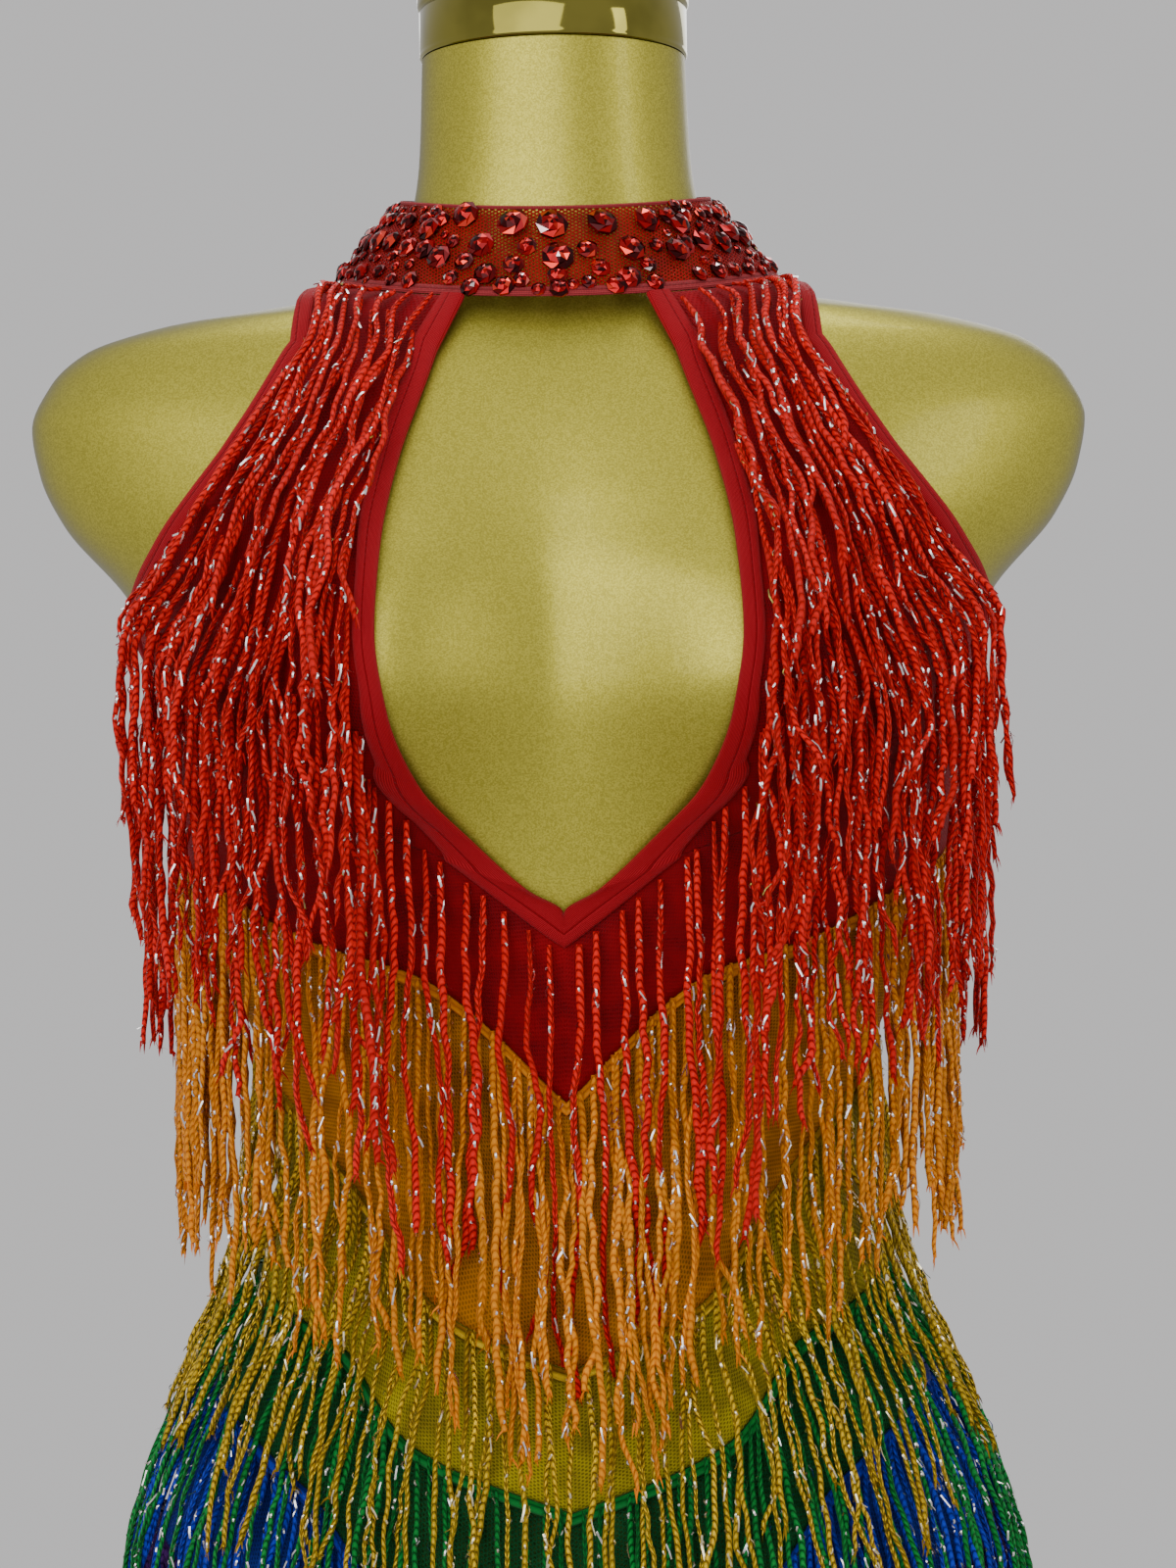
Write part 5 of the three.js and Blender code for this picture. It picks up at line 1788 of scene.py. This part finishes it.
def ribbon_patch(
    line: Array, width: Array, half: Array, material: int, turn: float, tone: float
) -> Patch:
    """Flat ribbons of two faces along lines of three points, kept off the floor.

    Args:
        line: Points with shape (ribbons, 3, 3).
        width: Direction across each ribbon.
        half: Half width.
        material: Number of the material slot.
        turn: Their first coordinate.
        tone: Their tone.

    Returns:
        The patch.
    """
    pairs = np.stack([line - width[:, None] * half, line + width[:, None] * half], 2)
    pairs[..., 2] = np.maximum(pairs[..., 2], FLOOR_CLEARANCE * 0.3)
    points = pairs.reshape(-1, 3)
    faces = copied_faces(grid_faces(3, 2), len(line), 6)
    uv = np.broadcast_to(np.array([turn, 0.0]), (len(faces), 4, 2)).copy()
    return Patch(points, faces, uv, material, np.full(len(points), tone))


def interpolate_rows(x: Array, stops: Array, values: Array) -> Array:
    """Linear interpolation in every row, where the row's stops descend.

    Args:
        x: Wanted places, with shape (rows, places).
        stops: Descending stops, with shape (rows, stops).
        values: Values at the stops.

    Returns:
        The values, held at both ends.
    """
    last = stops.shape[1] - 1
    after = np.clip((stops[:, None, :] > x[:, :, None]).sum(-1), 1, last)
    rows = np.arange(len(x))[:, None]
    high, low = stops[rows, after - 1], stops[rows, after]
    t = np.clip((high - x) / np.maximum(high - low, 1e-6), 0, 1)
    return lerp(values[rows, after - 1], values[rows, after], t)


@dataclass(frozen=True)
class FringeRow:
    """How the strands of one sewn row hang.

    Attributes:
        node: CAD node that the row's piece stands for.
        hue: Colour of its yarn.
        out: How far the strands come to stand off the trunk.
        settle: After what drop.
        pitch: Distance between strands along the row.
        length: Usual length of a strand.
        shortest: Share of it that the shortest strand has.
        flecks: Mean distance between metal flecks along a strand.
        thick: Thickness of a strand as a share of the usual.
        loose: How far its strands lean and bend, as a share of the usual.
    """

    node: str
    hue: Hue
    out: float
    settle: float
    pitch: float = 4.1
    length: float = 150.0
    shortest: float = 0.84
    flecks: float = 5.6
    thick: float = 1.0
    loose: float = 1.0


@dataclass
class Route:
    """Strands that leave a seam a little uphill, slide to their places and fall.

    Attributes:
        heights: Heights from which the strands fall.
        angle: Angles at which they fall.
        before: Angles at which they leave the seam.
        start: Heights there.
    """

    heights: Array
    angle: Array
    before: Array
    start: Array

    def place(self, drop: Array) -> tuple[Array, Array]:
        """Angles and heights after drops.

        Args:
            drop: Drops with shape (strands, stations).

        Returns:
            Angles in degrees and heights.
        """
        share = np.clip(drop / SLIDE, 0, 1)
        angle = lerp(self.before[:, None], self.angle[:, None], smooth(share))
        z = lerp(self.start[:, None], self.heights[:, None], share)
        return angle, z - np.maximum(drop - SLIDE, 0)

    def lie(self, drop: Array, out: Array) -> tuple[Array, Array, Array]:
        """Angles in degrees, heights and points at a distance off the trunk, after drops."""
        angle, z = self.place(drop)
        return angle, z, TRUNK_SHAPE.layer(angle, np.maximum(z, HIP_LEVEL), out)


class HalterRoute(Route):
    """Strands that follow the halter down its courses to the bust, and fall from there."""

    def __init__(self, top: Array, share: Array, last: float, side: int) -> None:
        """Lay the strands along the halter.

        Args:
            top: Courses where the strands are sewn.
            share: Shares across.
            last: Course where they leave the halter.
            side: 1 at +X or -1 at -X.
        """
        steps = top[:, None] + (last - top)[:, None] * np.linspace(0, 1, 50)
        across = share[:, None] + 0 * steps
        angles, heights = HALTER.place(steps, across)
        path = HALTER.layer(steps, across, 1, TRIM_OUT + 1.0)
        super().__init__(heights[:, 0], angles[:, 0], angles[:, 0], heights[:, 0])
        self.steps, self.share, self.side = steps, share, side
        self.angles, self.z, self.run = angles, heights, run_along(path, 1)

    def lie(self, drop: Array, out: Array) -> tuple[Array, Array, Array]:
        """Angles, heights and points after drops, along the halter and then straight down.

        Args:
            drop: Drops with shape (strands, stations).
            out: How far the strands stand off the trunk there.

        Returns:
            Angles in degrees, heights and points.
        """
        course, angle, z = (
            interpolate_rows(-drop, -self.run, values) for values in (self.steps, self.angles, self.z)
        )
        angle = self.side * angle
        z = z - np.maximum(drop - self.run[:, -1:], 0)
        points = TRUNK_SHAPE.layer(angle, np.maximum(z, HIP_LEVEL), out)
        return angle, z, HALTER.rise(points, course, self.share[:, None] + 0 * drop, self.side, out)


@dataclass
class StrandBatch:
    """Strands of one piece before they are meshed: paths and facing sides."""

    path: Array
    outward: Array


@dataclass
class Fringe:
    """All rows of chainette fringe, with their tapes, metal flecks and frayed ends."""

    stations: int = 32
    sides: int = 6
    back_sides: int = 5
    half_wide: float = 1.3
    half_deep: float = 0.95
    tip_fibres: int = 4

    def hang(self, row: FringeRow, route: Route, rng: Random) -> StrandBatch:
        """Let strands fall from their roots.

        Each lies on a layer off the trunk. Where the trunk recedes under it, it keeps the
        furthest place across and forward that it has reached, and hangs straight down. Slow
        and quick sine waves bend it aside and forward.

        Args:
            row: The row.
            route: Where they run.
            rng: Source of the unevenness.

        Returns:
            The batch.
        """
        count, stations = len(route.heights), self.stations
        share = np.linspace(0, 1, stations)[None, :]
        room = np.maximum(route.heights - FLOOR_CLEARANCE, 10)
        length = np.minimum(row.length * rng.uniform(row.shortest, 1.03, count), room)[:, None]
        drop = length * share
        layer = rng.normal(0, 1.0, (count, 1)).clip(-1.6, 1.8)
        out = lerp(TRIM_OUT + 1.0, row.out + layer, smooth(drop / row.settle))
        angle, z, lying = route.lie(drop, out)
        facing = TRUNK_SHAPE.normal(angle[:, -1], np.clip(z[:, -1], HIP_LEVEL + 40, 575))
        facing[:, 2] = 0
        facing = unit(facing)
        path = np.maximum.accumulate(np.abs(lying), axis=1) * np.sign(lying[:, 1:2])
        path[..., 2] = z + np.maximum(lying[..., 2] - np.maximum(z, HIP_LEVEL), 0)
        padded = np.concatenate([path[:, :1]] * 2 + [path] + [path[:, -1:]] * 2, 1)
        weights = np.array([0.1, 0.2, 0.4, 0.2, 0.1])
        eased = sum(w * padded[:, k:k + stations] for k, w in enumerate(weights))
        path[:, 1:, :2] = eased[:, 1:, :2]
        aside = np.stack([-facing[:, 1], facing[:, 0], 0 * facing[:, 0]], -1)
        path = path + row.loose * self.sway(drop, share, rng, aside, facing)
        return StrandBatch(path, facing)

    def sway(
        self, drop: Array, share: Array, rng: Random, aside: Array, facing: Array
    ) -> Array:
        """Unevenness of hanging strands: lean, slow bends and small kinks that grow downwards.

        Args:
            drop: Drops with shape (strands, stations).
            share: Shares of the way down.
            rng: Source of the unevenness.
            aside: Sideways direction of each strand.
            facing: Outward direction of each strand.

        Returns:
            Offsets with shape (strands, stations, 3).
        """
        count = len(drop)
        phase = rng.uniform(0, 2 * np.pi, (4, count, 1))
        slow = rng.uniform(55, 110, (2, count, 1))
        quick = rng.uniform(13, 26, (2, count, 1))
        grow = smooth(share * 3.0)
        stray = np.where(rng.uniform(size=(count, 1)) < 0.08, 3.0, 1.0)
        lean = rng.normal(0, 2.6, (count, 1)) * stray * share**1.3
        curl = rng.normal(0, 3.0, (count, 1)) * smooth((share - 0.86) / 0.14) * 0.8
        across = lean + curl + grow * (
            rng.uniform(0.4, 1.9, (count, 1)) * np.sin(2 * np.pi * drop / slow[0] + phase[0])
            + rng.uniform(0.15, 0.65, (count, 1)) * np.sin(2 * np.pi * drop / quick[0] + phase[1])
        )
        ahead = grow * (
            rng.uniform(0.2, 0.9, (count, 1)) * np.sin(2 * np.pi * drop / slow[1] + phase[2])
            + rng.uniform(0.1, 0.45, (count, 1)) * np.sin(2 * np.pi * drop / quick[1] + phase[3])
        )
        return aside[:, None] * across[..., None] + facing[:, None] * ahead[..., None]

    def yarn(self, batch: StrandBatch, thick: float, sides: int, rng: Random) -> Patch:
        """Mesh the strands of a batch.

        Args:
            batch: The strands.
            thick: Their thickness as a share of the usual.
            sides: Sides of each strand.
            rng: Source of the unevenness.

        Returns:
            The patch.
        """
        count, stations = batch.path.shape[:2]
        share = np.linspace(0, 1, stations)[None, :]
        knobs = 1 + 0.08 * np.sin(np.arange(stations)[None, :] * 2.3 + rng.uniform(0, 6, (count, 1)))
        taper = 0.72 + 0.28 * smooth(share * 12)
        taper = thick * taper * (1 - 0.3 * smooth((share - 0.97) / 0.03))
        taper = taper * rng.uniform(0.82, 1.12, (count, 1)) * knobs
        twist = rng.uniform(0, np.pi, (count, 1)) + share * rng.normal(0, 3.0, (count, 1))
        tone = rng.uniform(0.35, 1.0, count)
        return tube_patch(
            batch.path, batch.outward, self.half_wide * taper, self.half_deep * taper, sides, 0, twist, tone
        )

    def flecks(self, batch: StrandBatch, spacing: float, rng: Random) -> Patch:
        """Flat metal slivers wound into the yarn, some with an end that sticks out.

        Each is a bent ribbon of two faces at a random place along and around its strand.

        Args:
            batch: The strands.
            spacing: Mean distance between slivers along a strand.
            rng: Source of the places.

        Returns:
            The patch.
        """
        path = batch.path
        count, stations = path.shape[:2]
        each = max(2, int(FLECKED_LENGTH / spacing))
        strand = np.repeat(np.arange(count), each)
        where = rng.uniform(0.02, 0.985, count * each) * (stations - 1)
        low = np.floor(where).astype(int)
        t = (where - low)[:, None]
        centre = lerp(path[strand, low], path[strand, low + 1], t)
        tangent = unit(path[strand, low + 1] - path[strand, low])
        aside = unit(np.cross(tangent, batch.outward[strand]))
        ahead = np.cross(aside, tangent)
        spin = rng.uniform(-0.62, 0.62, len(strand)) * np.pi
        radial = aside * np.sin(spin)[:, None] + ahead * np.cos(spin)[:, None]
        around = np.cross(radial, tangent)
        slant = rng.uniform(0.05, 0.45, len(strand)) * rng.choice([-1, 1], len(strand))
        heading = tangent * np.cos(slant)[:, None] + around * np.sin(slant)[:, None]
        width = np.cross(heading, radial)
        loose = rng.uniform(size=len(strand)) < 0.1
        long = rng.uniform(size=len(strand)) < 0.26
        length = rng.uniform(1.2, 2.6, len(strand)) * np.where(long, 2.3, 1.0)
        surface = np.abs(np.sin(spin)) * self.half_wide + np.abs(np.cos(spin)) * self.half_deep
        ends = np.array([-0.5, 0.0, 0.5])[None, :]
        lift = surface[:, None] + np.array([-0.25, 0.35, -0.25])[None, :]
        lift[:, 2] += np.where(loose, rng.uniform(0.8, 2.4, len(strand)), 0)
        half = rng.uniform(0.22, 0.4, len(strand))[:, None, None]
        points = (
            centre[:, None]
            + heading[:, None] * (ends * length[:, None])[..., None]
            + radial[:, None] * lift[..., None]
        )
        return ribbon_patch(points, width, half, 1, 0.0, 0.5)

    def frayed(self, batch: StrandBatch, rng: Random) -> Patch:
        """Loose fibres that splay from the cut ends.

        Args:
            batch: The strands.
            rng: Source of the unevenness.

        Returns:
            The patch.
        """
        tip = np.repeat(batch.path[:, -1], self.tip_fibres, 0)
        tangent = np.repeat(unit(batch.path[:, -1] - batch.path[:, -3]), self.tip_fibres, 0)
        count = len(tip)
        spray = unit(tangent + rng.normal(0, 0.34, (count, 3)))
        width = unit(np.cross(spray, rng.normal(0, 1, (count, 3))))
        length = rng.uniform(2.5, 6.0, (count, 1))
        start = tip - tangent * 1.2 + rng.normal(0, 0.5, (count, 3))
        middle = start + spray * length * 0.55
        end = middle + unit(spray + np.array([0, 0, -0.5])) * length * 0.45
        line = np.stack([start, middle, end], 1)
        half = np.array([0.42, 0.3, 0.08])[None, :, None]
        return ribbon_patch(line, width, half, 0, 0.25, 1.0)

    def piece(self, row: FringeRow, batches: list[StrandBatch], tapes: list[Patch], seed: int) -> None:
        """Make one row's piece.

        Args:
            row: The row.
            batches: Its strands.
            tapes: The tapes that they hang from.
            seed: Seed of its unevenness.
        """
        rng = np.random.default_rng(SEED + seed)
        behind = row.node.endswith("back")
        sides = self.back_sides if behind else self.sides
        patches = list(tapes)
        for batch in batches:
            patches.append(self.yarn(batch, row.thick, sides, rng))
            patches.append(self.flecks(batch, row.flecks, rng))
            patches.append(self.frayed(batch, rng))
        fleck = GOLD_FLECK if row.hue is Hue.GOLD else SILVER
        name = row.node.replace("fringe_", "strands_")
        piece = make_object(name, patches, STRANDS[row.hue], fleck)
        install(piece, f"strand_{row.hue.value}", row.node)

    def level_row(self, row: FringeRow, top: Callable[[Array], Array], is_front: bool, seed: int) -> None:
        """A row along a seam, front or back.

        Args:
            row: The row.
            top: Height of the seam at an angle.
            is_front: Whether it is the front row.
            seed: Seed of its unevenness.
        """
        rng = np.random.default_rng(SEED + 100 + seed)
        middle = 0.0 if is_front else 180.0
        fine = np.linspace(middle - 89.4, middle + 89.4, 721)
        run = run_along(TRUNK_SHAPE.layer(fine, top(fine), TRIM_OUT))
        count = int(run[-1] / row.pitch)
        stops = (np.arange(count) + 0.5) * run[-1] / count + rng.normal(0, 0.7, count)
        angle = np.interp(stops, run, fine)
        uphill = np.clip((angle - middle) / 5, -1, 1)
        slide = rng.uniform(3.5, 7.0, count)
        before = np.interp(np.clip(stops + uphill * slide, 0, run[-1]), run, fine)
        start = top(before) + rng.uniform(-0.6, 1.0, count)
        batch = self.hang(row, Route(top(angle) - 5.6, angle, before, start), rng)
        tape = Bindings.edge_pair((fine[::4], top(fine[::4]) - 4.6), (fine[::4], top(fine[::4])), 1)
        self.piece(row, [batch], [tape], seed)

    def halter_rows(self, row: FringeRow, courses: Sequence[float], side: int, seed: int) -> None:
        """Rows along courses of one halter, whose strands follow it to the bust and then hang.

        Args:
            row: What the rows share.
            courses: The courses that they are sewn along.
            side: 1 at +X or -1 at -X.
            seed: Seed of their unevenness.
        """
        rng = np.random.default_rng(SEED + 200 + seed)
        batches = []
        for course in courses:
            inner, outer = (float(HALTER.borders[end](course)) for end in (0, 1))
            wide = float(HALTER.length(np.array([course]))[0])
            count = max(3, int(wide * (1 - inner - outer) / row.pitch))
            share = np.linspace(inner + 0.03, 1 - outer - 0.01, count) + rng.normal(0, 0.012, count)
            if course < 9:
                share = share[rng.uniform(size=count) < 0.3 + smooth(share / 0.55)]
            top = np.minimum(course + rng.normal(0, 0.14, len(share)), COLLAR_COURSE - 0.05)
            route = HalterRoute(top, share, min(BUST_COURSE, course), side)
            spread = replace(row, out=6.0 + 1.2 * (course - BUST_COURSE))
            batches.append(self.hang(spread, route, rng))
        self.piece(row, batches, [], seed)

    def keyhole_row(self, row: FringeRow, side: int, seed: int) -> None:
        """The row under one side of the keyhole's binding.

        Args:
            row: The row.
            side: 1 at +X or -1 at -X.
            seed: Seed of its unevenness.
        """
        rng = np.random.default_rng(SEED + 300 + seed)
        course = np.linspace(APEX_COURSE, 6.4, 60)
        share = HALTER.borders[0](course) * (1 + 2.5 / BINDING_WIDTH)
        angle, z = HALTER.place(course, share)
        join = int(np.searchsorted(course, APEX_COURSE + 1))
        blend = np.linspace(0, 1, join)
        angle[:join] = lerp(0.4, angle[join], blend)
        z[:join] = lerp(COURSES[APEX_COURSE - 1][1] - 2.0, z[join], blend)
        run = run_along(TRUNK_SHAPE.layer(angle, z, TRIM_OUT))
        count = int(run[-1] / row.pitch)
        stops = (np.arange(count) + 0.5) * run[-1] / count + rng.normal(0, 1.8, count).clip(-4, 4)
        roots = side * np.interp(stops, run, angle)
        heights = np.interp(stops, run, z)
        route = Route(heights - SLIDE, roots, roots, heights)
        self.piece(row, [self.hang(row, route, rng)], [], seed)

    def build(self) -> None:
        """Make every row of the suit."""
        chevrons = (
            FringeRow("fringe_orange", Hue.ORANGE, 20.2, 95.0, 3.9, shortest=0.74),
            FringeRow("fringe_gold", Hue.GOLD, 16.8, 46.0, 4.4, shortest=0.6, flecks=6.0, thick=0.86),
            FringeRow("fringe_green", Hue.GREEN, 13.2, 36.0, 5.2, thick=0.9),
            FringeRow("fringe_blue", Hue.BLUE, 10.4, 30.0, 4.1, thick=0.95),
            FringeRow("fringe_purple", Hue.PURPLE, 6.0, 34.0),
        )
        for k, row in enumerate(chevrons):
            top = partial(seam_edge, k, -0.4)
            for is_front in (True, False):
                half = replace(row, node=f"{row.node}_{'front' if is_front else 'back'}")
                self.level_row(half, top, is_front, 2 * k + is_front)
        back = FringeRow("fringe_red_back", Hue.RED, 14.0, 60.0)
        self.level_row(back, under_back_binding, False, 20)
        rows = {
            "collar": ((12.95, 12.0, 11.0, 10.0), 6.6),
            "chest": ((9.0, 8.2, 7.4), 7.0),
            "bust": ((6.8, 6.1, 5.4), 9.0),
        }
        for side, word in ((1, "right"), (-1, "left")):
            for n, (name, (courses, pitch)) in enumerate(rows.items()):
                node = f"fringe_red_{name}_{word}"
                row = FringeRow(node, Hue.RED, 10.0, 50.0, pitch, 150.0, 0.7, thick=1.04, loose=1.5)
                self.halter_rows(row, courses, side, 30 + 2 * n + (side > 0))
            node = f"fringe_red_keyhole_{word}"
            row = FringeRow(node, Hue.RED, 8.0, 30.0, 9.0, 166.0, 0.76, thick=1.2, loose=1.3)
            self.keyhole_row(row, side, 40 + (side > 0))


# ---- the studio
@dataclass
class Studio:
    """Camera, soft lights, pale floor and pale surroundings."""

    distance: float = 1.4
    aim_x: float = 0.0093
    aim_z: float = 0.5368
    roll: float = 0.8
    lens: float = 84.7

    def camera(self) -> None:
        """Upright frame, level with the waist, turned slightly about its own axis."""
        data = bpy.data.cameras.new("camera")
        data.lens = self.lens
        data.sensor_width = 36.0
        data.clip_start, data.clip_end = 0.05, 20.0
        camera = bpy.data.objects.new("camera", data)
        camera.location = (self.aim_x, -self.distance, self.aim_z)
        camera.rotation_euler = Euler((math.radians(90), math.radians(self.roll), 0))
        bpy.context.scene.collection.objects.link(camera)
        bpy.context.scene.camera = camera

    def lamp(self, name: str, place: Vector, aim: Vector, size: tuple[float, float], power: float) -> None:
        """One soft rectangular light.

        Args:
            name: Its name.
            place: Where it stands.
            aim: What it points at.
            size: Its width and height.
            power: Its power in watts.
        """
        data = bpy.data.lights.new(name, "AREA")
        data.shape, data.size, data.size_y = "RECTANGLE", *size
        data.energy = power
        lamp = bpy.data.objects.new(name, data)
        lamp.location = place
        lamp.rotation_euler = (aim - place).to_track_quat("-Z", "Y").to_euler()
        bpy.context.scene.collection.objects.link(lamp)

    def surroundings(self) -> None:
        """Even pale grey all round."""
        world = bpy.data.worlds.new("studio")
        world.use_nodes = True
        background = world.node_tree.nodes["Background"]
        background.inputs["Color"].default_value = (0.63, 0.62, 0.62, 1)
        background.inputs["Strength"].default_value = 1.0
        bpy.context.scene.world = world

    def floor(self) -> None:
        """Pale round floor under the form."""
        angle = np.radians(np.linspace(0, 360, 97))[None, :]
        radius = np.array([0.0, 400, 800, 1000, 1000])[:, None]
        x, y = radius * np.sin(angle), radius * np.cos(angle)
        z = np.array([0, 0, 0, 0, -8.0])[:, None] + 0 * x
        points = np.stack([x, y, z], -1)
        patch = surface_patch(points[::-1], length_uv(points))
        make_object("floor", [patch], FloorFinish("floor_pale"))

    def build(self) -> None:
        """Set the scene."""
        self.camera()
        aim = Vector((0.0, 0.0, 0.5))
        self.lamp("key", Vector((-0.8, -2.0, 1.3)), aim, (2.4, 1.6), 29.0)
        self.lamp("fill", Vector((1.7, -1.0, 1.2)), aim, (0.4, 1.0), 5.0)
        self.lamp("top", Vector((0.1, 0.2, 2.4)), aim, (1.4, 0.9), 16.0)
        self.lamp("behind", Vector((0.3, 1.8, 1.4)), aim, (1.4, 1.0), 9.0)
        self.surroundings()
        self.floor()


def main() -> None:
    """Dress the part and set the studio."""
    for assembly in (Studio(), DressForm(), Bodysuit(), Bindings(), Collar(), Fringe()):
        assembly.build()


if __name__ == "__main__":
    main()
